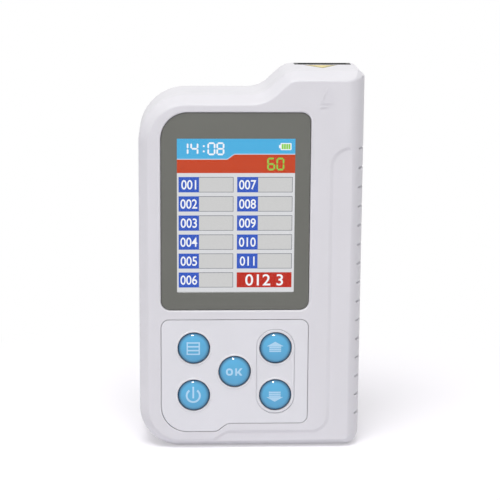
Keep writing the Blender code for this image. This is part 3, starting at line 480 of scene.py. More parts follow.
def turned(profile, x, z, steps=ROUND_STEPS, closed=False):
    """A solid of revolution about the line through x, z along Y; profile is (radius, depth)."""
    bm = bmesh.new()
    verts = [bm.verts.new((x + r, FACE_Y + depth, z)) for r, depth in profile]
    edges = [bm.edges.new(pair) for pair in zip(verts, verts[1:])]
    if closed:
        edges.append(bm.edges.new((verts[-1], verts[0])))
    bmesh.ops.spin(
        bm, geom=verts + edges, cent=(x, 0, z), axis=(0, 1, 0), angle=2 * math.pi, steps=steps, use_merge=True
    )
    bmesh.ops.remove_doubles(bm, verts=bm.verts, dist=WELD)
    bmesh.ops.recalc_face_normals(bm, faces=bm.faces)
    return bm


def new_mesh(name, bm):
    """The shape as a mesh, with its bmesh freed."""
    mesh = bpy.data.meshes.new(name)
    bm.to_mesh(mesh)
    bm.free()
    return mesh


def new_object(name, data):
    """An object in the scene."""
    made = bpy.data.objects.new(name, data)
    bpy.context.scene.collection.objects.link(made)
    return made


def gather(shapes):
    """Separate shapes as one mesh."""
    whole = bmesh.new()
    for bm in shapes:
        mesh = new_mesh("shape", bm)
        whole.from_mesh(mesh)
        bpy.data.meshes.remove(mesh)
    return whole


def carve(bm, *steps):
    """The shape after Boolean steps, each an operation and its shapes."""
    target = new_object("target", new_mesh("target", bm))
    guides = []
    for operation, shapes in steps:
        guide = new_object("guide", new_mesh("guide", gather(shapes)))
        guides.append(guide)
        step = target.modifiers.new("step", "BOOLEAN")
        step.operation = operation
        step.solver = "EXACT"
        step.object = guide
    deps = bpy.context.evaluated_depsgraph_get()
    mesh = bpy.data.meshes.new_from_object(target.evaluated_get(deps))
    for thing in [target] + guides:
        bpy.data.objects.remove(thing)
    result = bmesh.new()
    result.from_mesh(mesh)
    bpy.data.meshes.remove(mesh)
    bmesh.ops.remove_doubles(result, verts=result.verts, dist=WELD)
    bmesh.ops.dissolve_degenerate(result, edges=result.edges, dist=WELD)
    return result


def piece(name, bm, material, body="housing", replaces=(), weighted=False):
    """A finished piece: shaded, riding on its body and standing for its nodes."""
    mesh = new_mesh(name, bm)
    mesh.materials.append(material)
    mesh.shade_smooth()
    mesh.set_sharp_from_angle(angle=SHARP_ANGLE)
    made = new_object(name, mesh)
    if weighted:
        step = made.modifiers.new("even_normals", "WEIGHTED_NORMAL")
        step.keep_sharp = True
        step.weight = NORMAL_WEIGHT
    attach(made, body)
    if replaces:
        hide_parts(*replaces)
    return made


def softened(node, width):
    """A merged copy of a node's mesh with its sharp edges rounded."""
    bm = bmesh.new()
    bm.from_mesh(frame["nodes"][node].data)
    bmesh.ops.remove_doubles(bm, verts=bm.verts, dist=NODE_WELD)
    bmesh.ops.dissolve_limit(bm, angle_limit=FLAT_ANGLE, verts=bm.verts, edges=bm.edges)
    sharp = [edge for edge in bm.edges if edge.is_manifold and edge.calc_face_angle(0.0) > SHARP_ANGLE]
    rounding = {"offset_type": "OFFSET", "affect": "EDGES", "segments": 2, "profile": 0.5}
    bmesh.ops.bevel(bm, geom=sharp, offset=width, material=-1, clamp_overlap=True, **rounding)
    return bm


def body_corners():
    """The front view's outline: bottom edge first, then the grip side, tower, shoulder and left side."""
    cut = TOWER_CORNER_CUT
    return [
        (-HALF, 0.0, BOTTOM_LEFT_RADIUS, 28),
        (HALF, 0.0, BOTTOM_RIGHT_RADIUS, 14),
        (HALF, BODY_HEIGHT - cut, TOWER_CORNER_RADIUS, 6),
        (HALF - cut, BODY_HEIGHT, TOWER_CORNER_RADIUS, 6),
        (TOWER_FOOT_X + TOWER_SLOPE_RUN, BODY_HEIGHT, TOWER_HEAD_RADIUS, 16),
        (TOWER_FOOT_X, SHOULDER_Z, TOWER_FOOT_RADIUS, 16),
        (-HALF, SHOULDER_Z, SHOULDER_RADIUS, 28),
    ]


def quarter(share):
    """Share of a quarter round that is still to go across, at a share of its depth."""
    return 1 - math.sqrt(max(0.0, 1 - (1 - share) ** 2)) if share < 1 else 0.0


def chamfer(depth):
    """Inset of the chamfer at a depth: a slope between two rounds."""
    slope = math.atan2(CHAMFER_DEPTH, CHAMFER_RUN)
    if depth < CHAMFER_FACE_RADIUS * (1 - math.cos(slope)):
        reach = CHAMFER_FACE_RADIUS * math.tan(slope / 2)
        return CHAMFER_RUN + reach - math.sqrt(CHAMFER_FACE_RADIUS**2 - (CHAMFER_FACE_RADIUS - depth) ** 2)
    turn = math.pi / 2 - slope
    if depth > CHAMFER_END:
        return 0.0
    if depth > CHAMFER_END - CHAMFER_SIDE_RADIUS * math.sin(turn):
        return CHAMFER_SIDE_RADIUS - math.sqrt(CHAMFER_SIDE_RADIUS**2 - (CHAMFER_END - depth) ** 2)
    return CHAMFER_RUN * (1 - depth / CHAMFER_DEPTH)


def skin_insets(depth, extra=0.0):
    """How far each edge of the outer skin lies inside the outline at a depth."""
    side = chamfer(depth)
    grip = GRIP_RUN * quarter(depth / GRIP_DEPTH)
    rear = BACK_ROUND * quarter((BODY_DEPTH - depth) / BACK_ROUND) + extra
    edge = side + rear
    corner = max((grip + side) / 2, (grip + side - TOWER_CORNER_CUT + TOWER_CORNER_LEAST) / math.sqrt(2))
    return [edge, grip + rear, corner + rear, edge, edge, edge, edge]


def body_ring(depth, extra=0.0):
    return at_depth(depth, fillet(inset(body_corners(), skin_insets(depth, extra))))


def lens_corners(amount=0.0):
    """The lens: its upper left corner has a large round, as the shoulder beside it has."""
    outline = rectangle(LENS_LOW.x, LENS_HIGH.x, LENS_LOW.z, LENS_HIGH.z, LENS_RADIUS, 12)
    outline[3] = (LENS_LOW.x, LENS_HIGH.z, LENS_BIG_RADIUS, 20)
    return spread(outline, amount)


def film_corners(amount=0.0):
    """The keypad film: its lower edge steps down on the left beside the rounded corner."""
    foot = FILM_LOW.z + FILM_STEP
    step_x = FILM_LOW.x + FILM_STEP_X
    outline = [
        (FILM_LOW.x, FILM_LOW.z, LENS_BIG_RADIUS, 20),
        (step_x, FILM_LOW.z, FILM_STEP_RADIUS, 8),
        (step_x + FILM_STEP_RUN, foot, FILM_STEP_RADIUS, 8),
        (FILM_HIGH.x, foot, FILM_RADIUS, 12),
        (FILM_HIGH.x, FILM_HIGH.z, FILM_RADIUS, 12),
        (FILM_LOW.x, FILM_HIGH.z, FILM_RADIUS, 12),
    ]
    return spread(outline, amount)


def key_centre(name):
    low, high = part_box(name + "_key")
    return (low.x + high.x) / 2, (low.z + high.z) / 2


def window_corners(spread_by=0.0):
    """The picture's window in the lens print, a little higher than the picture because it lies in front."""
    x1 = PICTURE_X + PICTURE_WIDTH
    outline = rectangle(PICTURE_X, x1, PICTURE_TOP - PICTURE_HEIGHT, PICTURE_TOP + WINDOW_RISE)
    return spread(outline, spread_by)


def band_cut():
    """The lowered band on the front, with a soft ramp up to the raised panel."""
    right = HALF + CUT_PAST
    top = BODY_HEIGHT - BAND_TOP_DROP
    end_x = BAND_END_MARGIN - HALF
    edge_x = HALF - BAND_EDGE_MARGIN
    fall = (BAND_FOOT_Z + CUT_PAST) * BAND_END_SLANT
    outline = [
        (end_x - fall, -CUT_PAST, 0.0, 0),
        (right, -CUT_PAST, 0.0, 0),
        (right, top, 0.0, 0),
        (edge_x, top, BAND_TOP_RADIUS, 18),
        (edge_x, BAND_FOOT_Z, BAND_FOOT_RADIUS, 14),
        (end_x, BAND_FOOT_Z, BAND_END_RADIUS, 10),
    ]
    rings = []
    steps = 8
    for k in range(steps + 1):
        share = k / steps
        ramp = BAND_RAMP * (0.5 - share)
        ring = fillet(inset(outline, [0, 0, ramp, ramp, ramp, ramp]))
        rings.append(at_depth(BAND_STEP * (1 + math.cos(math.pi * share)) / 2, ring))
    rings.append(at_depth(-CUT_PAST, ring))
    return loft(rings)


def groove_plan(cut):
    """Plan of a groove whose floor follows the rounded side at a depth of cut, easing in at its front end."""
    steps = 14
    plan = []
    for k in range(steps + 1):
        depth = GROOVE_FROM + (GRIP_DEPTH - GROOVE_FROM) * k / steps
        ease = min(1.0, GROOVE_EASE * k / steps)
        plan.append((HALF - GRIP_RUN * quarter(depth / GRIP_DEPTH) - cut * ease, depth))
    plan.append((HALF - cut, GROOVE_TO - GROOVE_CUT))
    plan.append((HALF, GROOVE_TO))
    return plan + [(HALF + CUT_PAST, GROOVE_TO), (HALF + CUT_PAST, GROOVE_FROM)]


def grooves():
    """Finger grooves, square at the top and sloping out at the foot."""
    deep = groove_plan(GROOVE_CUT)
    clear = groove_plan(-GAP)
    shapes = []
    for k in range(GROOVE_COUNT):
        low = GROOVE_FIRST_Z + GROOVE_PITCH * k - GROOVE_HEIGHT / 2
        levels = ((low, clear), (low + GROOVE_SLOPE, deep), (low + GROOVE_HEIGHT, deep))
        shapes.append(loft([at_height(z, plan) for z, plan in levels]))
    return shapes


def seat(corners, floor, gap, lip, lip_depth):
    """Cutter for a recess with a rounded lip."""
    rings = [at_depth(floor, fillet(spread(corners, gap)))]
    for across, down in quarter_turn(5):
        rings.append(at_depth(lip_depth * down, fillet(spread(corners, gap + lip * across))))
    rings.append(at_depth(-PAST, fillet(spread(corners, gap + lip))))
    return loft(rings)


def front_shell():
    """Front moulding with soft chamfer, lowered band, lens and film seats, key holes and grooves."""
    rim, wall = 20, 5
    straight = PARTING_DEPTH - PARTING_ROUND - CHAMFER_END
    stations = [CHAMFER_END * (k / rim) ** STATION_POWER for k in range(rim + 1)]
    stations += [CHAMFER_END + straight * k / wall for k in range(1, wall + 1)]
    rings = [body_ring(depth) for depth in stations] + [body_ring(PARTING_DEPTH, PARTING_ROUND)]
    rings += [body_ring(depth, SIDE_WALL) for depth in (PARTING_DEPTH, CHAMFER_DEPTH, FACE_WALL)]
    lens_floor = LENS_BACK + GAP
    film_floor = FILM_BACK + GAP
    window = fillet(window_corners(PAST))
    holes = [prism(window, lens_floor / 2, FACE_WALL + GAP)]
    for name in KEY_NAMES:
        x, z = key_centre(name)
        holes.append(prism(circle(x, z, KEY_HOLE), film_floor / 2, FACE_WALL + GAP))
    seats = [
        seat(lens_corners(), lens_floor, LENS_GAP, LENS_LIP, LENS_SET),
        seat(film_corners(), film_floor, FILM_GAP, FILM_LIP, FILM_LIP),
    ]
    return carve(
        loft(rings),
        ("DIFFERENCE", [band_cut()]),
        ("DIFFERENCE", seats),
        ("DIFFERENCE", holes),
        ("DIFFERENCE", grooves()),
    )


def screw_well(x, z, head, bottom):
    """Cutter for a screw's well, rounded at its mouth."""
    mouth = head + WELL_ROUND
    profile = [(0.0, bottom), (head, bottom)]
    for across, down in quarter_turn(4):
        profile.append((head + WELL_ROUND * across, BODY_DEPTH - WELL_ROUND * down))
    profile += [(mouth, BODY_DEPTH + PAST), (0.0, BODY_DEPTH + PAST)]
    return turned(profile, x, z, 48)


def rear_shell():
    """Rear moulding with the strip slot, the socket hole and the screw wells."""
    start = REAR_START
    steps = 8
    stations = [BODY_DEPTH - BACK_ROUND * across for across, _ in quarter_turn(steps)]
    span = stations[-1] - start
    stations += [start + span * (steps - k) / steps for k in range(1, steps)]
    rings = [body_ring(depth) for depth in stations + [start + PARTING_ROUND]]
    rings.append(body_ring(start, PARTING_ROUND))
    rings += [body_ring(depth, SIDE_WALL) for depth in (start, BODY_DEPTH - BACK_ROUND)]
    inner = fillet(inset(body_corners(), [SIDE_WALL + GAP] * len(body_corners())))
    rings.append(at_depth(BODY_DEPTH - BACK_WALL, inner))
    wells = []
    posts = []
    for number in range(1, 5):
        low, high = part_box("case_screw_%d" % number)
        x, z = (low.x + high.x) / 2, (low.z + high.z) / 2
        posts.append(prism(circle(x, z, POST_RADIUS, 48), start + GAP, BODY_DEPTH - BACK_WALL + GAP))
        wells.append(screw_well(x, z, (high.x - low.x) / 2 + GAP, high.y - FACE_Y - WELL_SINK))
    low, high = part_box("usb_socket")
    socket = rectangle(low.x - CUT_PAST, low.x + 2 * SIDE_WALL, low.z - GAP, high.z + GAP)
    wells.append(prism(fillet(socket), low.y - FACE_Y - GAP, high.y - FACE_Y + GAP))
    return carve(
        loft(rings),
        ("UNION", posts),
        ("DIFFERENCE", wells),
        ("DIFFERENCE", top_cuts()),
        ("DIFFERENCE", grooves()),
    )


def mark_corners():
    """The three-cornered mark seen from above, its point towards the front, as (x, depth)."""
    low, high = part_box("slot_mark")
    front, back = low.y - FACE_Y, high.y - FACE_Y
    return [(low.x, back, 0.0, 0), ((low.x + high.x) / 2, front, 0.0, 0), (high.x, back, 0.0, 0)]


def top_cuts():
    """Strip slot and the shallow seat of the mark, both from above."""
    above = BODY_HEIGHT + PAST
    slot = upright(plan_of("strip_guide", GAP), BODY_HEIGHT - 2 * SIDE_WALL, above)
    mark = fillet(spread(mark_corners(), GAP / 2))
    return [slot, upright(mark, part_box("slot_mark")[0].z - GAP / 2, above)]


def mark_field():
    """The lighter field of the mark, inside its border."""
    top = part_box("slot_mark")[1].z
    field = fillet(inset(mark_corners(), [MARK_BORDER, MARK_BORDER, MARK_BORDER / 4]))
    return upright(field, top - 5 * INK, top + 1.5 * INK)


def slot_lip():
    """Black frame round the mouth of the slot, level with the top."""
    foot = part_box("strip_guide")[1].z - LIP_DEPTH
    top = BODY_HEIGHT - INK
    inner = upright(plan_of("strip_tray", GAP / 2), foot - PAST, top + PAST)
    return carve(upright(plan_of("strip_guide", GAP * 0.8), foot, top), ("DIFFERENCE", [inner]))


def slot_shade_sheet():
    """Black sheet on the tray's end: painted shade for the dark depth of the slot."""
    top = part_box("strip_tray")[1].z
    return upright(plan_of("strip_tray", -SHADE_SHEET_MARGIN), top - GAP, top + GAP)


def tower_relief():
    """A plain raised triangle over a short bar, on the front of the tower."""
    top = BODY_HEIGHT - RELIEF_TOP_DROP
    foot = top - RELIEF_HEIGHT
    half = RELIEF_WIDTH / 2
    points = ((RELIEF_X - half, foot), (RELIEF_X + half, foot), (RELIEF_X, top))
    outer = [point + RELIEF_CORNER for point in points]
    inner = prism(fillet(spread(outer, -RELIEF_STROKE)), -PAST, PAST)
    ring = carve(prism(fillet(outer), -RELIEF_RISE, GAP), ("DIFFERENCE", [inner]))
    bar = rectangle(RELIEF_X - half, RELIEF_X, foot - 3 * RELIEF_STROKE, foot - 2 * RELIEF_STROKE)
    return gather([ring, prism(fillet(bar), -RELIEF_RISE, GAP)])


def lens_print():
    """Grey border of the lens, with a small bevel round it and the picture's window in it."""
    outline = lens_corners()
    rings = [at_depth(LENS_BACK, fillet(outline))]
    for across, down in quarter_turn(4):
        ring = fillet(spread(outline, -LENS_BEVEL * across))
        rings.append(at_depth(LENS_SET + LENS_BEVEL * down, ring))
    window = prism(fillet(window_corners()), -PAST, LENS_BACK + PAST)
    return carve(loft(rings), ("DIFFERENCE", [window]))


def lens_pane():
    """Clear window of the lens, level with its border."""
    return prism(fillet(window_corners(-INK)), LENS_SET + INK, LENS_BACK)


def pill_corners(amount):
    """The long round surround of the up and down keys."""
    x, top = key_centre("up")
    bottom = key_centre("down")[1]
    half = KEY_HOLE + PILL_MARGIN
    outline = rectangle(x - half, x + half, bottom - half, top + half, half, 24)
    return spread(outline, amount)


def half_bead(width, height, steps=8):
    """Reach across and rise of each point of a low rounded bead."""
    turns = [math.pi * k / steps for k in range(steps + 1)]
    return [(width * (1 - math.cos(turn)) / 2, height * math.sin(turn)) for turn in turns]


def keypad_film():
    """Film with raised halos round the keys and the long surround of the up and down keys."""
    outline = film_corners()
    rings = [
        at_depth(FILM_BACK, fillet(outline)),
        at_depth(FILM_SET + FILM_LIP, fillet(outline)),
        at_depth(FILM_SET, fillet(spread(outline, -FILM_LIP))),
    ]
    inner = prism(fillet(pill_corners(0.0)), -2 * PAST, FILM_SET + PAST)
    line = carve(prism(fillet(pill_corners(PILL_LINE)), -PAST, FILM_SET + GAP), ("DIFFERENCE", [inner]))
    sunk = FILM_SET + BEAD_SINK
    crest = [at_depth(sunk, fillet(pill_corners(0.0)))]
    for reach, rise in half_bead(PILL_RIM, BEAD_HEIGHT):
        crest.append(at_depth(FILM_SET - rise - INK / 4, fillet(pill_corners(-reach))))
    start = KEY_HOLE - HALO_START
    loop = [(start, sunk)]
    loop += [(start + reach, FILM_SET - rise) for reach, rise in half_bead(HALO_WIDTH, BEAD_HEIGHT)]
    loop.append((start + HALO_WIDTH, sunk))
    halos = []
    holes = []
    for name in KEY_NAMES:
        x, z = key_centre(name)
        holes.append(prism(circle(x, z, KEY_HOLE), -2 * PAST, FILM_BACK + PAST))
        halos.append(turned(loop, x, z, closed=True))
    return carve(
        loft(rings),
        ("DIFFERENCE", [line]),
        ("UNION", [loft(crest)]),
        ("UNION", halos),
        ("DIFFERENCE", holes),
    )


def dome_depth(radius):
    """Depth of the key's face at a distance from its middle."""
    share = min(1.0, radius / KEY_RADIUS)
    return -DOME_PROUD + (DOME_PROUD + DOME_SKIRT) * share**DOME_POWER


def key_cap(name):
    """Domed cap with the flange behind the shell and the stem that meets its switch."""
    x, z = key_centre(name)
    steps = 16
    radii = [KEY_RADIUS * math.sin(math.pi / 2 * k / steps) for k in range(steps + 1)]
    flange = FACE_WALL + GAP
    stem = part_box(name + "_key")[1].y - FACE_Y
    profile = [(r, dome_depth(r)) for r in radii]
    profile += [
        (KEY_RADIUS, flange),
        (KEY_FLANGE_RADIUS, flange),
        (KEY_FLANGE_RADIUS, flange + KEY_FLANGE_THICK),
        (KEY_STEM_RADIUS, flange + KEY_FLANGE_THICK),
        (KEY_STEM_RADIUS, stem),
        (0.0, stem),
    ]
    return turned(profile, x, z, 72)


def flat(points, thick=INK):
    """A thin print, centred on depth 0."""
    return loft([[Vector((x, y, z)) for x, z in points] for y in (-thick, thick)])


def box_print(x0, x1, z0, z1, radius=0.0, steps=0):
    return flat(fillet(rectangle(x0, x1, z0, z1, radius, steps)))


def ring_print(outer, inner):
    return carve(flat(outer), ("DIFFERENCE", [flat(inner, 3 * INK)]))


def words(text, size, x, z, stretch):
    """Plain characters as a thin solid, centred on x, z."""
    curve = bpy.data.curves.new("words", "FONT")
    curve.body = text
    curve.size = size
    curve.extrude = INK
    curve.offset = FIGURE_BOLD
    curve.resolution_u = 6
    made = new_object("words", curve)
    deps = bpy.context.evaluated_depsgraph_get()
    mesh = bpy.data.meshes.new_from_object(made.evaluated_get(deps))
    bpy.data.objects.remove(made)
    bm = bmesh.new()
    bm.from_mesh(mesh)
    bpy.data.meshes.remove(mesh)
    bmesh.ops.remove_doubles(bm, verts=bm.verts, dist=WELD)
    middle = [(min(v.co[i] for v in bm.verts) + max(v.co[i] for v in bm.verts)) / 2 for i in (0, 1)]
    for vert in bm.verts:
        u, v, w = vert.co
        vert.co = (x + (u - middle[0]) * stretch, -w, z + v - middle[1])
    bmesh.ops.recalc_face_normals(bm, faces=bm.faces)
    return bm


def menu_icon():
    """A framed list."""
    frame_edge = rectangle(-2.2 * MM, 2.2 * MM, -2.15 * MM, 2.15 * MM)
    bar_half = 0.25 * MM
    shapes = [ring_print(fillet(frame_edge), fillet(spread(frame_edge, -0.45 * MM)))]
    for z in (-0.65 * MM, 0.65 * MM):
        shapes.append(box_print(-1.85 * MM, 1.85 * MM, z - bar_half, z + bar_half))
    return shapes


def ok_icon():
    """The two letters in plain strokes."""
    ring = rectangle(-2.7 * MM, -0.4 * MM, -1.25 * MM, 1.25 * MM, 1.05 * MM, 8)
    upper = [(0.75, -0.3), (1.3, -0.6), (2.75, 1.25), (1.95, 1.25)]
    lower = [(1.0, 0.1), (1.95, -1.25), (2.75, -1.25), (1.55, 0.45)]
    shapes = [ring_print(fillet(ring), fillet(spread(ring, -0.62 * MM)))]
    shapes.append(box_print(0.35 * MM, 0.97 * MM, -1.25 * MM, 1.25 * MM))
    shapes += [flat([(x * MM, z * MM) for x, z in arm]) for arm in (upper, lower)]
    return shapes


def power_icon():
    """An open ring with a bar through its gap."""
    opening = [(0.0, 0.0), (2.9 * MM, 4.0 * MM), (-2.9 * MM, 4.0 * MM)]
    outer, inner = (circle(0.0, 0.0, radius, 40) for radius in (2.5 * MM, 1.85 * MM))
    ring = carve(ring_print(outer, inner), ("DIFFERENCE", [flat(opening, 3 * INK)]))
    return [ring, box_print(-0.28 * MM, 0.28 * MM, -0.9 * MM, 3.0 * MM)]


def arrow_icon(way):
    """A broad arrow over three bars, pointing up for 1 and down for -1."""
    head = [(-2.8 * MM, 0.65 * MM * way), (2.8 * MM, 0.65 * MM * way), (0.0, 2.25 * MM * way)]
    shapes = [flat(head)]
    for low in (0.08 * MM, -0.58 * MM, -1.24 * MM):
        z0, z1 = sorted((low * way, (low + 0.48 * MM) * way))
        shapes.append(box_print(-1.95 * MM, 1.95 * MM, z0, z1))
    return shapes


def key_icon(name):
    """The pale sign under each key's clear face, flat round the middle of the key."""
    icons = {
        "menu": menu_icon,
        "ok": ok_icon,
        "power": power_icon,
        "up": lambda: arrow_icon(1),
        "down": lambda: arrow_icon(-1),
    }
    return gather(icons[name]())


def on_dome(bm, x, z):
    """Lays a flat print on a key's face, moved a little as the clear dome makes it seem."""
    for normal in (Vector((1, 0, 0)), Vector((0, 0, 1))):
        for k in range(-ICON_CUTS, ICON_CUTS + 1):
            whole = bm.verts[:] + bm.edges[:] + bm.faces[:]
            at = normal * k * ICON_GRID
            bmesh.ops.bisect_plane(bm, geom=whole, dist=WELD, plane_co=at, plane_no=normal)
    bmesh.ops.triangulate(bm, faces=bm.faces)
    bmesh.ops.translate(bm, verts=bm.verts, vec=ICON_SHIFT)
    for vert in bm.verts:
        depth = dome_depth(math.hypot(vert.co.x, vert.co.z))
        vert.co = (vert.co.x + x, FACE_Y + depth + vert.co.y * ICON_RISE, vert.co.z + z)
    bmesh.ops.recalc_face_normals(bm, faces=bm.faces)
    return bm


def on_screen(bm, level):
    """Moves a flat print to the picture; level stacks the prints in front of each other."""
    corner = (PICTURE_X, FACE_Y + PICTURE_DEPTH - level * 2 * INK, PICTURE_TOP)
    bmesh.ops.translate(bm, verts=bm.verts, vec=corner)
    return bm


def digit(character, x, top, wide, tall):
    """Bars of a seven-segment figure; x and top are its left and upper edges."""
    half = STROKE / 2
    foot = top - tall + half
    shapes = []
    for segment in SEGMENTS[character]:
        ends = [
            Vector((x + half + column * (wide - STROKE), foot + level * (tall - STROKE) / 2))
            for column, level in SEGMENT_ENDS[segment]
        ]
        run = (ends[1] - ends[0]).normalized()
        start, end = ends[0] + run * STROKE_GAP, ends[1] - run * STROKE_GAP
        side = Vector((run.y, -run.x)) * half
        near, far = start + run * half, end - run * half
        shapes.append(flat([start, near + side, far + side, end, far - side, near - side]))
    return shapes


def header(drop):
    """The header band, whose lower edge steps up towards the right; drop lowers that edge."""
    left, right = -HEADER_LEFT_DROP - drop, -HEADER_RIGHT_DROP - drop
    edge = [(0.0, left), (HEADER_STEP[0], left), (HEADER_STEP[1], right), (PICTURE_WIDTH, right)]
    return flat(edge + [(PICTURE_WIDTH, 0.0), (0.0, 0.0)])


def clock():
    """Time of day in seven-segment figures, with the shape of the charge sign at the right."""
    shapes = []
    for character, x in CLOCK_FIGURES:
        shapes += digit(character, x, -CLOCK_TOP, CLOCK_WIDE, CLOCK_TALL)
    for share in (0.3, 0.7):
        z = -CLOCK_TOP - CLOCK_TALL * share
        shapes.append(box_print(CLOCK_DOTS_X, CLOCK_DOTS_X + 2 * CLOCK_DOT, z - CLOCK_DOT, z + CLOCK_DOT))
    x0, x1, top, foot = CHARGE_SIGN
    shapes.append(box_print(x0, x1, -foot, -top, CHARGE_RIM, 3))
    middle = -(top + foot) / 2
    shapes.append(box_print(x0 - CHARGE_NUB, x0 + CHARGE_NUB / 5, middle - CHARGE_NUB, middle + CHARGE_NUB))
    return shapes


def count_and_charge():
    """The green count and the bars of the charge sign."""
    shapes = []
    for character, x in COUNT_FIGURES:
        shapes += digit(character, x, -COUNT_TOP, CLOCK_WIDE, COUNT_TALL)
    x0, x1, top, foot = CHARGE_SIGN
    pitch = (x1 - x0 - 2 * CHARGE_RIM) / CHARGE_BARS
    for k in range(CHARGE_BARS):
        left = x0 + CHARGE_RIM + pitch * k + CHARGE_BAR_GAP
        right = left + pitch - 2 * CHARGE_BAR_GAP
        shapes.append(box_print(left, right, -foot + CHARGE_RIM, -top - CHARGE_RIM))
    return shapes


def screen_prints():
    """Each colour of the picture as name, shapes, ink and level, from the back to the front."""
    labels, cells, outlines, numbers, red_cell = [], [], [], [], []
    places = [(column, -ROW_TOP - ROW_PITCH * row) for column in COLUMNS for row in range(ROW_COUNT)]
    for number, ((x0, x1, x2), top) in enumerate(places, 1):
        foot = top - ROW_HEIGHT
        middle = (foot + top) / 2
        if number == len(places):
            red_cell.append(box_print(x0, x2, foot, top))
            numbers.append(words("012 3", WIDE_SIZE, (x0 + x2) / 2, middle, WIDE_STRETCH))
            continue
        labels.append(box_print(x0, x1, foot, top))
        outlines.append(box_print(x1, x2, foot, top))
        cells.append(box_print(x1, x2 - CELL_LINE, foot + CELL_LINE, top - CELL_LINE))
        numbers.append(words("%03d" % number, LABEL_SIZE, (x0 + x1) / 2, middle, LABEL_STRETCH))
    ground, red = (box_print(-PAST, PICTURE_WIDTH + PAST, -drop, PAST) for drop in (PICTURE_HEIGHT, RED_DROP))
    return (
        ("screen_ground", [ground], "ground", 0),
        ("screen_band", [red], "red", 1),
        ("screen_labels", labels, "label_blue", 1),
        ("screen_outlines", outlines, "grey_line", 1),
        ("screen_red_cell", red_cell, "cell_red", 1),
        ("screen_line", [header(HEADER_LINE)], "pale_line", 2),
        ("screen_cells", cells, "cell_grey", 2),
        ("screen_header", [header(0.0)], "sky_blue", 3),
        ("screen_numbers", numbers, "white", 4),
        ("screen_clock", clock(), "white", 4),
        ("screen_count", count_and_charge(), "green", 5),
    )


def screen(glass):
    """The display module with its lit picture: thin prints, each in front of the last."""
    inks = {name: lit_ink("lit_" + name, code) for name, code in SCREEN_COLOURS.items()}
    front = LCD_LOW.y - FACE_Y
    stack = prism(fillet(window_corners(PAST / 2)), PICTURE_DEPTH + 2 * INK, front + 5 * INK)
    panel = prism(fillet(rectangle(LCD_LOW.x, LCD_HIGH.x, LCD_LOW.z, LCD_HIGH.z)), front, LCD_HIGH.y - FACE_Y)
    module = carve(panel, ("UNION", [stack]))
    piece("display_module", module, glass, replaces=["lcd_module"])
    for name, shapes, ink, level in screen_prints():
        piece(name, on_screen(gather(shapes), level), inks[ink])


def key_material(name):
    """Polished clear acrylic over blue ink, with painted shade that darkens the blue towards the rim of the
    dome; centred on one key.
    """
    x, z = key_centre(name)
    made = new_material("clear_dome_over_blue_ink_" + name, "58ABD6", Roughness=0.09, IOR=1.49)
    tree = made.node_tree
    shader = tree.nodes["Principled BSDF"]
    place = add_node(tree, "ShaderNodeTexCoord").outputs["Object"]
    centred = add_node(tree, "ShaderNodeMapping", {"Location": (-x, 0.0, -z)}, {"Vector": place})
    scale = {1: (1 / KEY_RADIUS, 0.0, 1 / KEY_RADIUS)}
    way = centred.outputs["Vector"]
    share = add_node(tree, "ShaderNodeVectorMath", scale, {0: way}, operation="MULTIPLY").outputs["Vector"]
    reach = add_node(tree, "ShaderNodeVectorMath", None, {0: share}, operation="LENGTH")
    # Painted shade: the ramp runs from the key's own blue in the middle to a dark rim at its edge
    ramp = add_node(tree, "ShaderNodeValToRGB", None, {"Fac": reach.outputs["Value"]})
    stops = ramp.color_ramp.elements
    stops[0].color = linear(KEY_MIDDLE)
    stops[1].color = linear(KEY_RIM_PAINTED_SHADE)
    for position, code in KEY_RIM_SHADE_STEPS:
        stops.new(position).color = linear(code)
    tree.links.new(ramp.outputs["Color"], shader.inputs["Base Color"])
    return made


def camera():
    """The photo's viewpoint, fitted at 500 x 500."""
    yaw, pitch, roll = CAMERA_YAW, CAMERA_PITCH, CAMERA_ROLL
    ahead = Vector((-math.sin(yaw) * math.cos(pitch), math.cos(yaw) * math.cos(pitch), -math.sin(pitch)))
    right = ahead.cross(Vector((0, 0, 1))).normalized()
    up = right.cross(ahead)
    turned_right = right * math.cos(roll) + up * math.sin(roll)
    turned_up = up * math.cos(roll) - right * math.sin(roll)
    lens = bpy.data.cameras.new("camera")
    lens.sensor_width = SENSOR_WIDTH
    lens.lens = FOCAL_PIXELS * SENSOR_WIDTH / PHOTO_PIXELS
    made = new_object("camera", lens)
    turn = Matrix((turned_right, turned_up, -ahead)).transposed()
    made.matrix_world = Matrix.Translation(CAMERA_PLACE) @ turn.to_4x4()
    bpy.context.scene.camera = made


def lamp(name, place, size, power, glossy):
    """A round lamp aimed at the middle of the part; it shows only in gloss, or else only on matt surfaces."""
    light = bpy.data.lights.new(name, "AREA")
    light.shape = "DISK"
    light.size = size
    light.energy = power
    light.color = linear(LAMP_COLOUR)[:3]
    made = new_object(name, light)
    made.location = place
    aim = Vector((0.0, 0.0, BODY_HEIGHT / 2))
    made.rotation_euler = (aim - made.location).to_track_quat("-Z", "Y").to_euler()
    made.visible_glossy = glossy
    made.visible_diffuse = not glossy


def seen_directly(tree):
    """1 for rays from the camera, from a reflection or through something clear, else 0."""
    path = add_node(tree, "ShaderNodeLightPath")
    seen = path.outputs["Is Camera Ray"]
    for other in ("Is Glossy Ray", "Is Transmission Ray"):
        pair = {0: seen, 1: path.outputs[other]}
        seen = add_node(tree, "ShaderNodeMath", None, pair, operation="MAXIMUM").outputs[0]
    return seen


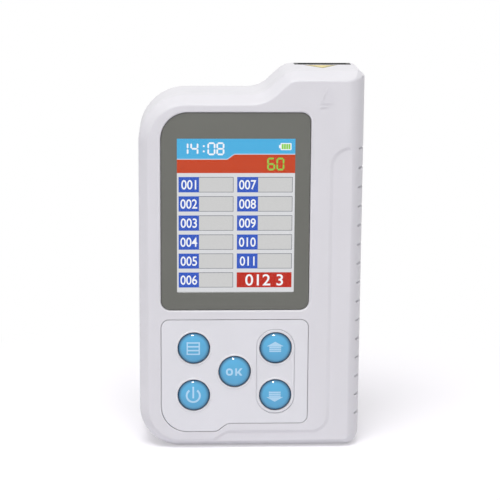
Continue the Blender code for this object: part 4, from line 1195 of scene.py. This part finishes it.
def world():
    """Soft light, a little stronger from above, in front and the left; cameras and reflections see white."""
    made = bpy.data.worlds.new("studio")
    bpy.context.scene.world = made
    made.use_nodes = True
    tree = made.node_tree
    way = add_node(tree, "ShaderNodeTexCoord").outputs["Generated"]
    rise = add_node(tree, "ShaderNodeVectorMath", {1: SKY_SLOPE}, {0: way}, operation="DOT_PRODUCT")
    level = rise.outputs["Value"]
    for operation, amount in (("ADD", SKY_LEVEL), ("MAXIMUM", 0.0)):
        level = add_node(tree, "ShaderNodeMath", {1: amount}, {0: level}, operation=operation).outputs[0]
    back = tree.nodes["Background"]
    back.inputs["Color"].default_value = linear(WHITE)
    tree.links.new(level, back.inputs["Strength"])
    white = add_node(tree, "ShaderNodeBackground", {"Color": linear(WHITE), "Strength": 1.0})
    shaders = {1: back.outputs["Background"], 2: white.outputs["Background"]}
    both = add_node(tree, "ShaderNodeMixShader", None, {"Fac": seen_directly(tree), **shaders})
    tree.links.new(both.outputs["Shader"], tree.nodes["World Output"].inputs["Surface"])


def floor():
    """A plain pale floor: it reads white, keeps the soft shadow near the part and fades to pure white."""
    made = new_material("pale_floor", FLOOR_COLOUR, Roughness=1.0, Specular_IOR_Level=0.0)
    tree = made.node_tree
    shader = tree.nodes["Principled BSDF"]
    seen = seen_directly(tree)
    share = {1: FLOOR_LIFT - FLOOR_GLOW, 2: FLOOR_GLOW}
    level = add_node(tree, "ShaderNodeMath", share, {0: seen}, operation="MULTIPLY_ADD").outputs[0]
    lift = add_node(tree, "ShaderNodeEmission", None, {"Strength": level}).outputs[0]
    near = add_node(tree, "ShaderNodeAddShader", None, {0: shader.outputs["BSDF"], 1: lift}).outputs[0]
    place = add_node(tree, "ShaderNodeTexCoord").outputs["Object"]
    reach = add_node(tree, "ShaderNodeVectorMath", None, {0: place}, operation="LENGTH").outputs["Value"]
    ends = {"From Min": FLOOR_FADE[0], "From Max": FLOOR_FADE[1]}
    fade = add_node(tree, "ShaderNodeMapRange", ends, {"Value": reach}).outputs["Result"]
    far = add_node(tree, "ShaderNodeMath", None, {0: fade, 1: seen}, operation="MULTIPLY").outputs[0]
    white = add_node(tree, "ShaderNodeEmission", {"Strength": 1.0}).outputs[0]
    both = add_node(tree, "ShaderNodeMixShader", None, {0: far, 1: near, 2: white})
    tree.links.new(both.outputs["Shader"], tree.nodes["Material Output"].inputs["Surface"])
    bm = bmesh.new()
    bmesh.ops.create_grid(bm, x_segments=1, y_segments=1, size=FLOOR_HALF)
    mesh = new_mesh("floor", bm)
    mesh.materials.append(made)
    new_object("floor", mesh)


def finishes():
    """Every plain finish by its short name."""
    made = {}
    for name, (title, low, high, grain, depth, values) in GRAINED.items():
        made[name] = grained(title, low, high, grain * MM, depth * MM, **values)
    # Clear acrylic with a coat against reflections, so the lit picture keeps its contrast
    pane = {"Roughness": 0.0, "Transmission_Weight": 1.0, "IOR": 1.15, "Specular_IOR_Level": 0.1}
    made["clear"] = new_material("clear_acrylic", WHITE, **pane)
    # Pressed sheet glass of the display: cool grey, smooth, seen only at the edges
    made["glass"] = new_material("display_glass", "8A8F96", Roughness=0.1, IOR=1.52)
    # Pale ink under the clear dome of a key, seen through its gloss
    made["pale"] = new_material("pale_ink_under_dome", "A9D2EC", Roughness=0.06, IOR=1.49)
    return made


def dress_kept_nodes(finish):
    """Gives each frame node that stays as it is its material."""
    kept = {
        "lcd_holder": "black",
        "display_tail": "brown",
        "main_board": "board",
        "battery_cell": "foil",
        "sensor_block": "black",
        "sensor_board": "board",
    }
    for name in KEY_NAMES:
        kept[name + "_switch"] = "black"
    for number in range(1, 5):
        kept["case_screw_%d" % number] = "steel"
        kept["board_screw_%d" % number] = "steel"
    for node, name in kept.items():
        mesh = frame["nodes"][node].data
        mesh.materials.clear()
        mesh.materials.append(finish[name])


def build():
    camera()
    world()
    floor()
    lamp("soft_lamp", **SOFT_LAMP, glossy=False)
    lamp("glint_lamp", **GLINT_LAMP, glossy=True)
    bpy.context.scene.view_settings.view_transform = "Standard"

    finish = finishes()
    white = finish["white"]
    piece("front_moulding", front_shell(), white, replaces=["front_shell"], weighted=True)
    piece("tower_relief", tower_relief(), white)
    piece("rear_moulding", rear_shell(), white, replaces=["rear_shell"], weighted=True)
    piece("lens_border", lens_print(), finish["grey"], replaces=["display_lens"])
    piece("lens_pane", lens_pane(), finish["clear"])
    screen(finish["glass"])
    film = keypad_film()
    piece("film_sheet", film, finish["film"], replaces=["keypad_film"], weighted=True)
    for name in KEY_NAMES:
        body = name + "_button"
        piece(name + "_cap", key_cap(name), key_material(name), body, [name + "_key"])
        icon = on_dome(key_icon(name), *key_centre(name))
        piece(name + "_icon", icon, finish["pale"], body)
    guide = softened("strip_guide", GUIDE_ROUND)
    piece("slot_liner", guide, finish["black"], replaces=["strip_guide"])
    piece("slot_lip", slot_lip(), finish["black"])
    tray = softened("strip_tray", TRAY_ROUND)
    piece("tray_slide", tray, finish["ivory"], "tray", ["strip_tray"])
    # A black sheet on the tray's end paints the shade deep in the slot
    piece("slot_shade_sheet", slot_shade_sheet(), finish["black"], "tray")
    socket = softened("usb_socket", SOCKET_ROUND)
    piece("socket_shell", socket, finish["steel"], replaces=["usb_socket"])
    border = softened("slot_mark", MARK_ROUND)
    piece("mark_border", border, finish["olive"], replaces=["slot_mark"])
    piece("mark_field", mark_field(), finish["yellow"])
    dress_kept_nodes(finish)


build()
bpy.context.view_layer.update()
